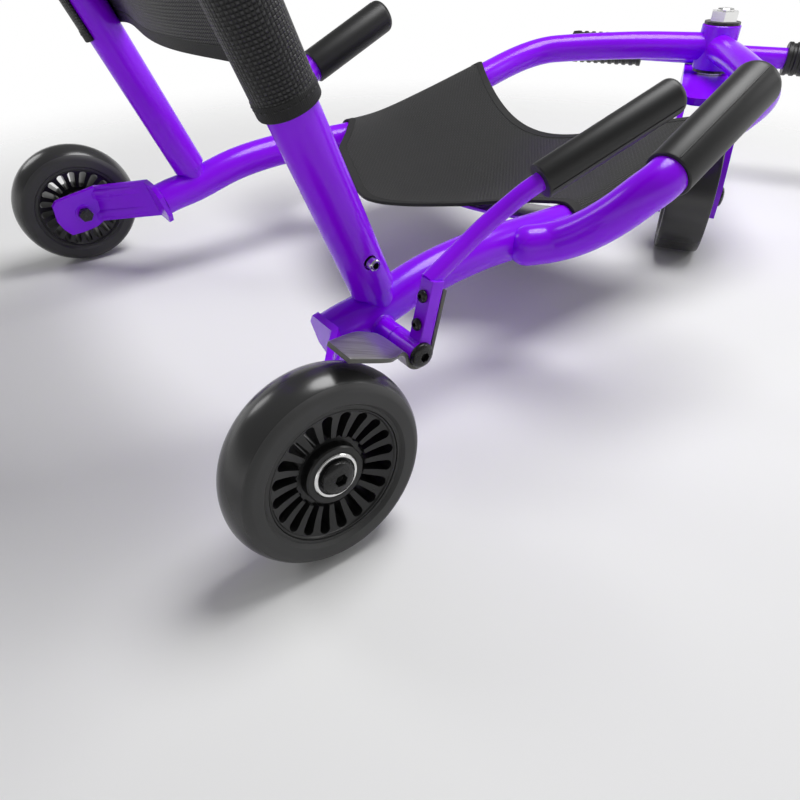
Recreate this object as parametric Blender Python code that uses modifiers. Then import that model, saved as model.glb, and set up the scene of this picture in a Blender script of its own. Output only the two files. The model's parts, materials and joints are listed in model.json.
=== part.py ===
"""Sit-down scooter: a low tube frame with a sling seat and a backrest hoop, on two rear wheels
that lean in at the top and one front wheel that trails behind a swinging foot bar.

Metres. +X is the rider's right, +Y is forward and +Z is up. The pieces are placed from the middle
of the rear axle line on the ground. At the end the whole is moved so that its origin lies at the
centre of its footprint. The front wheel stands turned to the right.
"""
import math

import bmesh
import bpy
from mathutils import Matrix, Vector
from mathutils.geometry import interpolate_bezier

# Fits
GAP = 0.0003
SEAT_WRAP_EASE = 0.0008
PANEL_WRAP_EASE = 0.0003

# Wheels
WHEEL_RADIUS = 0.0625
REAR_TYRE_WIDTH = 0.036
FRONT_TYRE_WIDTH = 0.0455
REAR_CROWN = 0.0102
FRONT_CROWN = 0.0045
REAR_TREAD_POWER = 1.75
FRONT_TREAD_POWER = 7.0
TYRE_LIP_RADIUS = 0.0442
TYRE_LIP_INSET = 0.0028
RIM_RADIUS = 0.042
RIM_THICKNESS = 0.003
REAR_RIM_WIDTH = 0.024
FRONT_RIM_WIDTH = 0.034
WEB_THICKNESS = 0.015
HUB_RADIUS = 0.0195
SPOKE_COUNT = 20
SPOKE_SHARE = 0.44
SWIRL_DEGREES = 14.0
REAR_TRACK = 0.5158
REAR_CAMBER_DEGREES = 5.5
AXLE_RADIUS = 0.0057
BEARING_RADIUS = 0.014
BEARING_WIDTH = 0.008
BEARING_FACE = 0.0147
SPACER_RADIUS = 0.0095
BOLT_HEAD_RADIUS = 0.0105
BOLT_HEAD_HEIGHT = 0.0065
NUT_FLATS = 0.019
NUT_HEIGHT = 0.006
BOLT_END = 0.0015
AXLE_SOCKET = (0.008, 0.0045)

# Frame tubes
TUBE_RADIUS = 0.0159
TUBE_WALL = 0.0018
FRAME_HALF_WIDTH = 0.164
FRAME_REAR = (0.0645, 0.0796)
FRAME_REAR_TILT_DEGREES = 15.4
FRAME_REAR_RUN = 0.006
FRAME_SIDE = [(0.100, 0.0868), (0.150, 0.1000), (0.200, 0.1054), (0.250, 0.1046), (0.298, 0.1046),
              (0.345, 0.1083), (0.410, 0.1220), (0.500, 0.1440), (0.555, 0.1575)]
PIVOT_Y = 0.755
HEAD_HEIGHT = 0.177
NOSE_BEND = [(FRAME_HALF_WIDTH - 0.0062, 0.589, HEAD_HEIGHT - 0.0118),
             (FRAME_HALF_WIDTH - 0.0210, 0.612, HEAD_HEIGHT - 0.0072),
             (0.0720, 0.683, HEAD_HEIGHT - 0.0008)]
HEAD_RADIUS = 0.023
HEAD_BORE = 0.0175
HEAD_LENGTH = 0.050

# Rear arms
ARM_THICKNESS = 0.005
ARM_OFFSET = 0.0255
ARM_INNER_X = FRAME_HALF_WIDTH - 0.0065
ARM_BULGE = 0.0085
ARM_BULGE_HEIGHT = 0.020
ARM_BEND_X = FRAME_HALF_WIDTH + 0.019
ARM_TOP = 0.0173
ARM_BOTTOM = -0.0217
ARM_HUB_OUTLINE = [(0.017, 0.0256, -0.0126), (0.009, 0.0240, -0.0173), (-0.005, 0.0215, -0.0200),
                   (-0.018, 0.0192, -0.0208), (-0.0245, 0.0176, -0.0125), (-0.0285, 0.0130, -0.0033)]

# Backrest hoop
HOOP_HALF_WIDTH = FRAME_HALF_WIDTH + 0.0012
HOOP_FOOT = (0.0995, 0.107)
HOOP_LEAN_DEGREES = 22.0
HOOP_LENGTH = 0.320
HOOP_CORNER = 0.058
STUB_REACH = 0.060
SCREW_UP = 0.0262
SCREW_HOLE = 0.005
SCREW_HEAD = 0.004
SCREW_SHANK = 0.0027
SCREW_PROUD = 0.006
SCREW_SOCKET = (0.0042, 0.003)
STUB_LOW = -0.0205

# Sling seat, cross strap and backrest panel
SLING_THICKNESS = 0.003
SEAT_SAG = 0.0254
SEAT_REAR = [(0.0, 0.206), (0.020, 0.2102), (0.040, 0.2184), (0.060, 0.2259), (0.080, 0.2338),
             (0.100, 0.2404), (0.130, 0.270), (FRAME_HALF_WIDTH, 0.2974)]
SEAT_WRAP_FRONT = 0.500
SEAT_FRONT_HOLLOW = 0.060
PANEL_SAG = 0.0186
PANEL_LOW = 0.135
PANEL_HIGH = 0.257
PANEL_EDGE_HOLLOW = 0.010
WRAP_END_DEGREES = 215.0
WRAP_STEPS = 9
SPAN_STEPS = 12
STRAP_REAR = 0.280
STRAP_FRONT = 0.320
STRAP_MIDDLE_HEIGHT = 0.0885
STRAP_END_HEIGHT = 0.1073
STRAP_THICKNESS = 0.003

# Side handles
HANDLE_BENDS = [(0.0165, 0.239, 0.1055), (0.0285, 0.255, 0.1085), (0.047, 0.264, 0.120),
                (0.0654, 0.2724, 0.1369), (0.0784, 0.2839, 0.1541)]
HANDLE_PATH = [(FRAME_HALF_WIDTH + out, y, z) for out, y, z in HANDLE_BENDS]
GRIP_FOOT = (FRAME_HALF_WIDTH + 0.0836, 0.2974, 0.1642)
GRIP_DIRECTION = (-0.05, 0.90, 0.43)
GRIP_LENGTH = 0.115
GRIP_RADIUS = 0.0185
GRIP_CAP = 0.008

# Brake, on the right side only
BRAKE_Y = 0.0987
BRAKE_Z = 0.080
BRAKE_TUBE_RADIUS = 0.0085
BRAKE_BOLT_SHANK = 0.004
BRAKE_BOLT_HEAD = 0.009
BRAKE_BOLT_HEIGHT = 0.0068
BRAKE_BOLT_SOCKET = (0.007, 0.0045)
BRAKE_STUB_END = FRAME_HALF_WIDTH + 0.0327
BRAKE_THREAD_LENGTH = 0.012
BRACKET_INNER_X = FRAME_HALF_WIDTH + 0.046
BRACKET_OUTER_X = BRACKET_INNER_X + 0.012
BRACKET_LEAN_DEGREES = 12.9
BRACKET_SHEET = 0.0028
BRACKET_REAR = -0.002
BRACKET_FRONT = 0.008
BRACKET_TOP = 0.051
BUTTON_UPS = {"upper": 0.0392, "lower": 0.0194}
BUTTON_RADIUS = 0.0043
BUTTON_HEIGHT = 0.0032
BUTTON_SHANK = 0.0022
BUTTON_SOCKET = (0.003, 0.0018)
SHOE_THICKNESS = 0.0024
SHOE_TOP = 0.0445
SHOE_WRAP_END_DEGREES = -155.9
SHOE_BENDS = [(0.086, 0.084, -0.0045, 0.014), (0.072, 0.0985, 0.0005, 0.0275),
              (0.058, 0.1095, 0.0096, 0.042), (0.043, 0.120, 0.0195, 0.0545),
              (0.015, 0.133, 0.037, 0.0585)]
SHOE_STATIONS = [(y, z, BRACKET_INNER_X + near, BRACKET_INNER_X + far)
                 for y, z, near, far in SHOE_BENDS]
LEVER_RADIUS = 0.0062
LEVER_BENDS = [(0.0038, 0.1135, 0.1280), (0.0042, 0.1390, 0.1430), (0.0055, 0.1532, 0.1525),
               (0.0080, 0.1664, 0.1612), (0.0155, 0.1870, 0.1764)]
LEVER_PATH = [(BRACKET_INNER_X + out, y, z) for out, y, z in LEVER_BENDS]
LEVER_GRIP_FOOT = (BRACKET_INNER_X + 0.0165, 0.1905, 0.1781)
LEVER_GRIP_DIRECTION = (0.25, 0.88, 0.44)
LEVER_GRIP_LENGTH = 0.104
LEVER_GRIP_RADIUS = 0.0119
LEVER_GRIP_CAP = 0.005

# Front swing
SWING_DEGREES = 32.5
TRAIL = 0.2284
FORK_INNER = 0.0255
FORK_SHEET = 0.006
FORK_HUB_RADIUS = 0.022
FORK_BACK_LOW = 0.045
FORK_BACK_HIGH = 0.075
FORK_SLOPE_DEGREES = 60.0
FORK_DEPTH = 0.026
CROWN_TOP = HEAD_HEIGHT - 0.031
CROWN_SHEET = 0.008
CROWN_REAR = -0.158
CROWN_FRONT = 0.080
CROWN_CORNER = 0.012
SPINDLE_RADIUS = 0.0097
SPINDLE_FOOT = 0.008
COLLAR_RADIUS = 0.016
BUSH_FLANGE_RADIUS = 0.0215
BUSH_FLANGE = 0.003
BUSH_DEPTH = 0.012
SPINDLE_NUT_FLATS = 0.030
SPINDLE_NUT_HEIGHT = 0.011
FOOT_BAR_AHEAD = 0.062
FOOT_BAR_RADIUS = 0.0127
FOOT_BAR_HALF = 0.185
PEG_RADIUS = 0.020
PEG_LENGTH = 0.100
PEG_RIDGES = 3
PEG_GROOVE = 0.0025
PEG_CAP = 0.006

# Facets
WHEEL_STEPS = 30
CORE_STEPS = 20
SMALL_STEPS = 16
TREAD_POINTS = 7
TUBE_SIDES = 14
SMALL_TUBE_SIDES = 10
TUBE_STEP = 0.030
SEAT_STEPS = 8
PANEL_STEPS = 2
STRAP_STEPS = 12

SIDES = {"right": 1, "left": -1}


def make_collection(name):
    """A collection linked to the scene."""
    collection = bpy.data.collections.new(name)
    bpy.context.scene.collection.children.link(collection)
    return collection


def make_material(name, colour, roughness, metallic=0.0):
    """A Principled material of one colour."""
    material = bpy.data.materials.new(name)
    material.use_nodes = True
    shader = material.node_tree.nodes["Principled BSDF"]
    shader.inputs["Base Color"].default_value = (*colour, 1.0)
    shader.inputs["Roughness"].default_value = roughness
    shader.inputs["Metallic"].default_value = metallic
    material.diffuse_color = (*colour, 1.0)
    return material


def make_empty(name, parent, location=(0, 0, 0), rotation=(0, 0, 0)):
    """An empty that carries the pieces of one axis."""
    empty = bpy.data.objects.new(name, None)
    empty.location = location
    empty.rotation_euler = rotation
    empty.parent = parent
    parts.objects.link(empty)
    return empty


def place(name, mesh, material, parent, location=(0, 0, 0), rotation=(0, 0, 0)):
    """One named piece of the scooter."""
    piece = bpy.data.objects.new(name, mesh)
    mesh.materials.clear()
    mesh.materials.append(material)
    mesh.shade_smooth()
    mesh.set_sharp_from_angle(angle=math.radians(35))
    piece.location = location
    piece.rotation_euler = rotation
    piece.parent = parent
    parts.objects.link(piece)
    return piece


def place_cutter(name, mesh, parent, location=(0, 0, 0), rotation=(0, 0, 0)):
    """A guide solid that shapes other pieces and isn't one itself."""
    cutter = bpy.data.objects.new(name, mesh)
    cutter.location = location
    cutter.rotation_euler = rotation
    cutter.parent = parent
    cutter.hide_render = True
    cutter.display_type = "WIRE"
    cutters.objects.link(cutter)
    return cutter


def combine(piece, other, operation="DIFFERENCE"):
    """Cut the other solid out of the piece, or join it on."""
    modifier = piece.modifiers.new(other.name, "BOOLEAN")
    modifier.operation = operation
    modifier.object = other


def finish_mesh(name, bm):
    """A mesh from a bmesh, with its faces pointing out."""
    bmesh.ops.recalc_face_normals(bm, faces=bm.faces)
    mesh = bpy.data.meshes.new(name)
    bm.to_mesh(mesh)
    bm.free()
    return mesh


def cylinder_mesh(name, radius, low, high, steps):
    """A cylinder along Z, from low to high."""
    bm = bmesh.new()
    bmesh.ops.create_cone(bm, cap_ends=True, segments=steps, radius1=radius, radius2=radius,
                          depth=high - low)
    bmesh.ops.translate(bm, vec=(0, 0, (low + high) / 2), verts=bm.verts)
    return finish_mesh(name, bm)


def turned_mesh(name, profile, closed):
    """The edges of a section of (radius, height) points, for a Screw modifier about Z."""
    bm = bmesh.new()
    corners = [bm.verts.new((radius, 0, height)) for radius, height in profile]
    for first, second in zip(corners, corners[1:]):
        bm.edges.new((first, second))
    if closed:
        bm.edges.new((corners[-1], corners[0]))
    mesh = bpy.data.meshes.new(name)
    bm.to_mesh(mesh)
    bm.free()
    return mesh


def turned(name, profile, material, parent, location=(0, 0, 0), rotation=(0, 0, 0),
           steps=SMALL_STEPS, closed=True):
    """A turned piece; its section runs top to bottom on the outer side."""
    piece = place(name, turned_mesh(name, profile, closed), material, parent, location, rotation)
    screw = piece.modifiers.new("turn", "SCREW")
    screw.axis = "Z"
    screw.angle = math.tau
    screw.steps = steps
    screw.render_steps = steps
    screw.use_smooth_shade = True
    screw.use_merge_vertices = True
    screw.merge_threshold = 0.00001
    return piece


def evaluated_mesh(name, shape):
    """The welded mesh of a curve, which is then removed."""
    scene_objects = bpy.context.scene.collection.objects
    scene_objects.link(shape)
    depsgraph = bpy.context.evaluated_depsgraph_get()
    mesh = bpy.data.meshes.new_from_object(shape.evaluated_get(depsgraph))
    bpy.data.objects.remove(shape)
    bm = bmesh.new()
    bm.from_mesh(mesh)
    bpy.data.meshes.remove(mesh)
    bmesh.ops.remove_doubles(bm, verts=bm.verts, dist=0.00001)
    return finish_mesh(name, bm)


def tube_mesh(name, path, radius, sides=TUBE_SIDES, scales=None):
    """A round bar along the points of a path, with flat ends."""
    curve = bpy.data.curves.new(name, "CURVE")
    curve.dimensions = "3D"
    curve.bevel_depth = radius
    curve.bevel_resolution = sides // 2 - 2
    curve.use_fill_caps = True
    spline = curve.splines.new("POLY")
    spline.points.add(len(path) - 1)
    for index, place_on_path in enumerate(path):
        spline.points[index].co = (*place_on_path, 1.0)
        if scales:
            spline.points[index].radius = scales[index]
    return evaluated_mesh(name, bpy.data.objects.new(name, curve))


def outline_mesh(name, outlines, thickness):
    """A flat plate in the XY plane from closed outlines; an inner one is a hole."""
    curve = bpy.data.curves.new(name, "CURVE")
    curve.dimensions = "2D"
    curve.fill_mode = "BOTH"
    curve.extrude = thickness / 2
    for outline in outlines:
        spline = curve.splines.new("POLY")
        spline.points.add(len(outline) - 1)
        spline.use_cyclic_u = True
        for index, (x, y) in enumerate(outline):
            spline.points[index].co = (x, y, 0.0, 1.0)
    return evaluated_mesh(name, bpy.data.objects.new(name, curve))


def sheet_mesh(name, rows):
    """An open sheet through rows of as many points each."""
    bm = bmesh.new()
    grid = [[bm.verts.new(point) for point in row] for row in rows]
    for row, after in zip(grid, grid[1:]):
        for i in range(len(row) - 1):
            bm.faces.new((row[i], row[i + 1], after[i + 1], after[i]))
    mesh = bpy.data.meshes.new(name)
    bm.to_mesh(mesh)
    bm.free()
    return mesh


def sheet(name, rows, thickness, material, parent):
    """A sheet of even thickness, half of it on each side of the rows."""
    piece = place(name, sheet_mesh(name, rows), material, parent)
    solidify = piece.modifiers.new("thickness", "SOLIDIFY")
    solidify.thickness = thickness
    solidify.offset = 0.0
    solidify.use_even_offset = True
    return piece


def arc(centre, radius, start_degrees, end_degrees, steps):
    """Points of an arc in a plane."""
    points = []
    for i in range(steps + 1):
        angle = math.radians(start_degrees + (end_degrees - start_degrees) * i / steps)
        points.append((centre[0] + radius * math.cos(angle), centre[1] + radius * math.sin(angle)))
    return points


def polygon(radius, sides):
    """The corners of a regular polygon."""
    return arc((0, 0), radius, 180 / sides, 540 / sides + 360 * (sides - 2) / sides, sides - 1)


def smooth(points, step, first=None, last=None):
    """A smooth path through the points, which may leave and arrive in given directions."""
    knots = [Vector(point) for point in points]
    directions = []
    for index in range(len(knots)):
        before = knots[max(index - 1, 0)]
        after = knots[min(index + 1, len(knots) - 1)]
        directions.append((after - before).normalized())
    if first:
        directions[0] = Vector(first).normalized()
    if last:
        directions[-1] = Vector(last).normalized()
    path = [knots[0]]
    for index in range(len(knots) - 1):
        start = knots[index]
        end = knots[index + 1]
        reach = (end - start).length
        pieces = max(1, round(reach / step))
        start_handle = start + directions[index] * reach / 3
        end_handle = end - directions[index + 1] * reach / 3
        path.extend(interpolate_bezier(start, start_handle, end_handle, end, pieces + 1)[1:])
    return path


def bent(points, radius, steps):
    """Straight runs between the points, with each corner rounded to the radius."""
    knots = [Vector(point) for point in points]
    path = [knots[0]]
    for before, corner, after in zip(knots, knots[1:], knots[2:]):
        inward = (before - corner).normalized()
        outward = (after - corner).normalized()
        half_angle = inward.angle(outward) / 2
        cut_back = radius / math.tan(half_angle)
        centre = corner + (inward + outward).normalized() * radius / math.sin(half_angle)
        start = corner + inward * cut_back - centre
        turn = start.rotation_difference(corner + outward * cut_back - centre)
        for i in range(steps + 1):
            path.append(centre + Matrix.Rotation(turn.angle * i / steps, 3, turn.axis) @ start)
    path.append(knots[-1])
    return path


def bore_round(radius, steps):
    """The corner radius of a faceted bore that clears a round bar."""
    return (radius + GAP) / math.cos(math.pi / steps)


def turn_to(direction):
    """The rotation that points a piece's Z along a direction."""
    return Vector(direction).to_track_quat("Z", "Y").to_euler()


def mirrored(side, point):
    """A point of the right side, on the given side."""
    return Vector((SIDES[side] * point[0], point[1], point[2]))


# Places that several pieces share
def superellipse(width, crown, power):
    """The tread of a tyre, (radius, offset) from its outer shoulder to its inner one."""
    points = []
    for i in range(TREAD_POINTS + 1):
        angle = math.pi * i / TREAD_POINTS
        across = math.copysign(abs(math.cos(angle)) ** (2 / power), math.cos(angle))
        rise = abs(math.sin(angle)) ** (2 / power)
        points.append((WHEEL_RADIUS - crown + crown * rise, width / 2 * across))
    return points


def cambered_axle_height():
    """The height at which the leaning tyre just touches the ground."""
    camber = math.radians(REAR_CAMBER_DEGREES)
    tread = superellipse(REAR_TYRE_WIDTH, REAR_CROWN, REAR_TREAD_POWER)
    return max(radius * math.cos(camber) - offset * math.sin(camber) for radius, offset in tread)


def frame_path():
    """The centre line of the right frame tube."""
    tilt = math.radians(FRAME_REAR_TILT_DEGREES)
    rearmost = Vector((FRAME_HALF_WIDTH, *FRAME_REAR))
    straight = Vector((0, math.cos(tilt), math.sin(tilt)))
    side = [(FRAME_HALF_WIDTH, y, z) for y, z in FRAME_SIDE]
    head = (HEAD_RADIUS / 2, PIVOT_Y - HEAD_RADIUS / 2, HEAD_HEIGHT)
    bend = [rearmost + straight * FRAME_REAR_RUN] + side + NOSE_BEND + [head]
    return [rearmost] + smooth(bend, TUBE_STEP, first=straight)


def between_knots(knots, place_on_line):
    """The value of a line through (place, value) knots, straight between them."""
    for (start, low), (end, high) in zip(knots, knots[1:]):
        if place_on_line <= end:
            return low + (high - low) * (place_on_line - start) / (end - start)
    return knots[-1][1]


def tube_height(y):
    """The height of the frame tube's centre line at a place along its straight side."""
    return between_knots([(point.y, point.z) for point in FRAME_LINE], y)


def hoop_point(up, x=HOOP_HALF_WIDTH, forward=0.0):
    """A point in the hoop's own plane, up its leg, across and in front of it."""
    lean = math.radians(HOOP_LEAN_DEGREES)
    y = HOOP_FOOT[0] - up * math.sin(lean) + forward * math.cos(lean)
    z = HOOP_FOOT[1] + up * math.cos(lean) + forward * math.sin(lean)
    return Vector((x, y, z))


def bracket_point(x, forward, up):
    """A point in the leaning frame of the brake bracket, from its pivot."""
    lean = math.radians(BRACKET_LEAN_DEGREES)
    y = BRAKE_Y + forward * math.cos(lean) + up * math.sin(lean)
    z = BRAKE_Z - forward * math.sin(lean) + up * math.cos(lean)
    return Vector((x, y, z))


FRAME_LINE = frame_path()
AXLE_HEIGHT = cambered_axle_height()
HOOP_BORE = TUBE_RADIUS - TUBE_WALL
STUB_RADIUS = HOOP_BORE - GAP


# Wheels
def tyre_section(width, crown, power, rim_width):
    """The closed section of a tyre round its rim."""
    lip = width / 2 - TYRE_LIP_INSET
    seat = min(rim_width / 2 + 0.0017, lip)
    bore = RIM_RADIUS + GAP
    return superellipse(width, crown, power) + [
        (TYRE_LIP_RADIUS, -lip), (bore, -seat), (bore, seat), (TYRE_LIP_RADIUS, lip)]


def core_section(rim_width):
    """The closed section of a wheel core, from its rim to its bearing seats."""
    rim = rim_width / 2
    rim_inside = RIM_RADIUS - RIM_THICKNESS
    web = WEB_THICKNESS / 2
    hub = BEARING_FACE - 0.0012
    seat_radius = BEARING_RADIUS + GAP
    shoulder = BEARING_FACE - BEARING_WIDTH - GAP
    shoulder_radius = BEARING_RADIUS - 0.002
    inner = [(rim_inside, -rim), (rim_inside - 0.001, -web), (HUB_RADIUS + 0.001, -web),
             (HUB_RADIUS, -hub), (seat_radius, -hub), (seat_radius, -shoulder),
             (shoulder_radius, -shoulder)]
    outer = [(radius, -offset) for radius, offset in reversed(inner)]
    return [(RIM_RADIUS, rim), (RIM_RADIUS, -rim)] + inner + outer


def slot_outline(index):
    """One curved slot between two blades of a wheel core."""
    pitch = 360 / SPOKE_COUNT
    inner = HUB_RADIUS + 0.0025
    outer = RIM_RADIUS - RIM_THICKNESS - 0.0018
    edges = {1: [], -1: []}
    for step in range(3):
        share = step / 2
        radius = inner + (outer - inner) * share
        middle = pitch * index - SWIRL_DEGREES * share ** 1.5
        for side, edge in edges.items():
            angle = math.radians(middle + side * pitch * (1 - SPOKE_SHARE) / 2)
            edge.append((radius * math.cos(angle), radius * math.sin(angle)))
    return edges[1] + edges[-1][::-1]


def bearing_section():
    """A ball bearing with the shield between its races on one face, as one ring."""
    bore = AXLE_RADIUS + GAP
    half = BEARING_WIDTH / 2
    shield = half - 0.0007
    inner_race = bore + 0.0025
    outer_race = BEARING_RADIUS - 0.0022
    return [(BEARING_RADIUS, half), (BEARING_RADIUS, -half), (bore, -half), (bore, half),
            (inner_race, half), (inner_race, shield), (outer_race, shield), (outer_race, half)]


def ring_section(inner, outer, low, high):
    """The closed section of a plain ring."""
    return [(outer, high), (outer, low), (inner, low), (inner, high)]


def dome_section(head_radius, head_height, shank_radius, base, end):
    """The section of a domed bolt, from the top of its head to the end of its shank."""
    dome = [(0, base + head_height)]
    for radius, height in arc((0, 0), 1.0, 68, 15, 3):
        dome.append((head_radius * radius, base + head_height * (0.3 + 0.7 * height)))
    return dome + [(head_radius, base + head_height * 0.3), (head_radius, base),
                   (shank_radius, base), (shank_radius, end + 0.001),
                   (shank_radius - 0.001, end), (0, end)]


def socket_cut(bolt, size, top, parent, location=(0, 0, 0), rotation=(0, 0, 0)):
    """A hexagon socket (flats, depth) in a bolt's head, whose top is that high on its axis."""
    flats, depth = size
    mesh = cylinder_mesh(bolt.name + "_socket", flats / math.sqrt(3), top - depth, top + 0.003, 6)
    combine(bolt, place_cutter(mesh.name, mesh, parent, location, rotation))


def nut(name, flats, hole, height, material, parent, location, rotation):
    """A hexagon nut on the middle of its height."""
    outlines = [polygon(flats / math.sqrt(3), 6), polygon(hole, 16)]
    return place(name, outline_mesh(name, outlines, height), material, parent, location, rotation)


def make_wheel(name, axle, tyre_width, crown, power, rim_width, spacer_ends, slotted=True):
    """A wheel on its axle, whose X points outward, with the spacers beside it."""
    along = (0, math.pi / 2, 0)
    tyre = tyre_section(tyre_width, crown, power, rim_width)
    turned(name + "_tyre", tyre, MATERIALS["tyre"], axle, rotation=along, steps=WHEEL_STEPS)
    core = turned(name + "_core", core_section(rim_width), MATERIALS["black"], axle,
                  rotation=along, steps=CORE_STEPS)
    if slotted:
        slots = outline_mesh(name + "_slots", [slot_outline(i) for i in range(SPOKE_COUNT)],
                             2 * WEB_THICKNESS)
        combine(core, place_cutter(slots.name, slots, axle, rotation=along))

    bearing_middle = BEARING_FACE - BEARING_WIDTH / 2
    for place_name, sign in (("outer", 1), ("inner", -1)):
        turned(f"{name}_bearing_{place_name}", bearing_section(), MATERIALS["steel"], axle,
               location=(sign * bearing_middle, 0, 0), rotation=(0, sign * math.pi / 2, 0))
    bore = AXLE_RADIUS + GAP
    between = BEARING_FACE - BEARING_WIDTH - GAP
    turned(name + "_hub_spacer", ring_section(bore, SPACER_RADIUS, -between, between),
           MATERIALS["steel"], axle, rotation=along, steps=12)
    for place_name, end in spacer_ends.items():
        start = math.copysign(BEARING_FACE + GAP, end)
        low, high = sorted((start, end - math.copysign(GAP, end)))
        turned(f"{name}_axle_spacer{place_name}", ring_section(bore, SPACER_RADIUS, low, high),
               MATERIALS["black"], axle, rotation=along, steps=12)


def make_axle_bolt(name, axle, head_base, nut_base):
    """The domed bolt that a wheel turns on and its nut, between two offsets along the axle."""
    along = (0, math.pi / 2, 0)
    end = nut_base - NUT_HEIGHT - BOLT_END
    section = dome_section(BOLT_HEAD_RADIUS, BOLT_HEAD_HEIGHT, AXLE_RADIUS, head_base, end)
    bolt = turned(name + "_axle_bolt", section, MATERIALS["bolt"], axle, rotation=along,
                  closed=False)
    socket_cut(bolt, AXLE_SOCKET, head_base + BOLT_HEAD_HEIGHT, axle, rotation=along)
    nut(name + "_axle_nut", NUT_FLATS, AXLE_RADIUS + GAP, NUT_HEIGHT, MATERIALS["bolt"], axle,
        (nut_base - NUT_HEIGHT / 2, 0, 0), along)


def make_rear_wheels(root):
    """Both rear wheels, each on its leaning axle."""
    camber = math.radians(REAR_CAMBER_DEGREES)
    for side, sign in SIDES.items():
        turn = 0.0 if sign > 0 else math.pi
        axle = make_empty(f"axle_{side}", root, (sign * REAR_TRACK / 2, 0, AXLE_HEIGHT),
                          (0, -camber, turn))
        name = f"wheel_{side}"
        plate_outside = -(ARM_OFFSET - ARM_THICKNESS / 2)
        make_wheel(name, axle, REAR_TYRE_WIDTH, REAR_CROWN, REAR_TREAD_POWER, REAR_RIM_WIDTH,
                   {"": plate_outside})
        make_axle_bolt(name, axle, BEARING_FACE + GAP, plate_outside - ARM_THICKNESS - GAP)


# Rear arms
def arm_rows():
    """The middle surface of the right rear arm, as rows of points from top to bottom."""
    tilt = math.radians(FRAME_REAR_TILT_DEGREES)
    camber = math.radians(REAR_CAMBER_DEGREES)
    back = GAP + ARM_THICKNESS / 2
    tube_end = Vector((0, FRAME_REAR[0], FRAME_REAR[1]))
    plate = tube_end - back * Vector((0, math.cos(tilt), math.sin(tilt)))
    up = Vector((0, -math.sin(tilt), math.cos(tilt)))
    axis = Vector((math.cos(camber), 0, math.sin(camber)))
    wheel_up = Vector((-math.sin(camber), 0, math.cos(camber)))
    hub = Vector((REAR_TRACK / 2, 0, AXLE_HEIGHT)) - ARM_OFFSET * axis
    middle = (ARM_TOP + ARM_BOTTOM) / 2
    ends = [
        (Vector((ARM_INNER_X - ARM_BULGE, 0, 0)), middle + ARM_BULGE_HEIGHT / 2,
         middle - ARM_BULGE_HEIGHT / 2),
        (Vector((ARM_INNER_X, 0, 0)), ARM_TOP, ARM_BOTTOM),
        (Vector((ARM_BEND_X, 0, 0)), ARM_TOP, ARM_BOTTOM)]
    pairs = [(plate + across + up * top, plate + across + up * bottom)
             for across, top, bottom in ends]
    for y, top, bottom in ARM_HUB_OUTLINE:
        along = Vector((0, y, 0))
        pairs.append((hub + along + wheel_up * top, hub + along + wheel_up * bottom))
    return pairs


def make_rear_arms(root):
    """The bent plates that carry the rear wheels, each with the hole for its axle."""
    camber = math.radians(REAR_CAMBER_DEGREES)
    for side, sign in SIDES.items():
        rows = [[mirrored(side, point) for point in pair] for pair in arm_rows()]
        arm = sheet(f"rear_arm_{side}", rows, ARM_THICKNESS, MATERIALS["purple"], root)
        axis = (sign * math.cos(camber), 0, math.sin(camber))
        hole = cylinder_mesh(f"axle_hole_{side}", AXLE_RADIUS + GAP, -0.05, 0.05, SMALL_STEPS)
        combine(arm, place_cutter(hole.name, hole, root, (sign * REAR_TRACK / 2, 0, AXLE_HEIGHT),
                                  turn_to(axis)))


# Frame
def make_frame(root):
    """The two side tubes, the head tube and the solids that cope other tubes to them."""
    clear_head = cylinder_mesh("head_clearance", HEAD_RADIUS + GAP, HEAD_HEIGHT - HEAD_LENGTH,
                               HEAD_HEIGHT + HEAD_LENGTH, 32)
    head_cutter = place_cutter(clear_head.name, clear_head, root, (0, PIVOT_Y, 0))
    tube_cutters = {}
    for side in SIDES:
        path = [mirrored(side, point) for point in FRAME_LINE]
        name = f"frame_tube_{side}"
        tube = place(name, tube_mesh(name, path, TUBE_RADIUS), MATERIALS["purple"], root)
        combine(tube, head_cutter)
        clearance = tube_mesh(f"tube_clearance_{side}", path, TUBE_RADIUS + GAP)
        tube_cutters[side] = place_cutter(clearance.name, clearance, root)
    half = HEAD_LENGTH / 2
    turned("head_tube", ring_section(HEAD_BORE, HEAD_RADIUS, -half, half), MATERIALS["purple"],
           root, (0, PIVOT_Y, HEAD_HEIGHT), steps=24)
    for place_name, sign in (("upper", 1), ("lower", -1)):
        outside = sign * (half + GAP)
        flange = outside + sign * BUSH_FLANGE
        inside = outside - sign * BUSH_DEPTH
        barrel = HEAD_BORE - GAP
        bore = SPINDLE_RADIUS + GAP
        section = [(BUSH_FLANGE_RADIUS, flange), (BUSH_FLANGE_RADIUS, outside), (barrel, outside),
                   (barrel, inside), (bore, inside), (bore, flange)]
        if sign < 0:
            section = section[::-1]
        turned(f"head_bush_{place_name}", section, MATERIALS["black"], root,
               (0, PIVOT_Y, HEAD_HEIGHT))
    return tube_cutters


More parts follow.
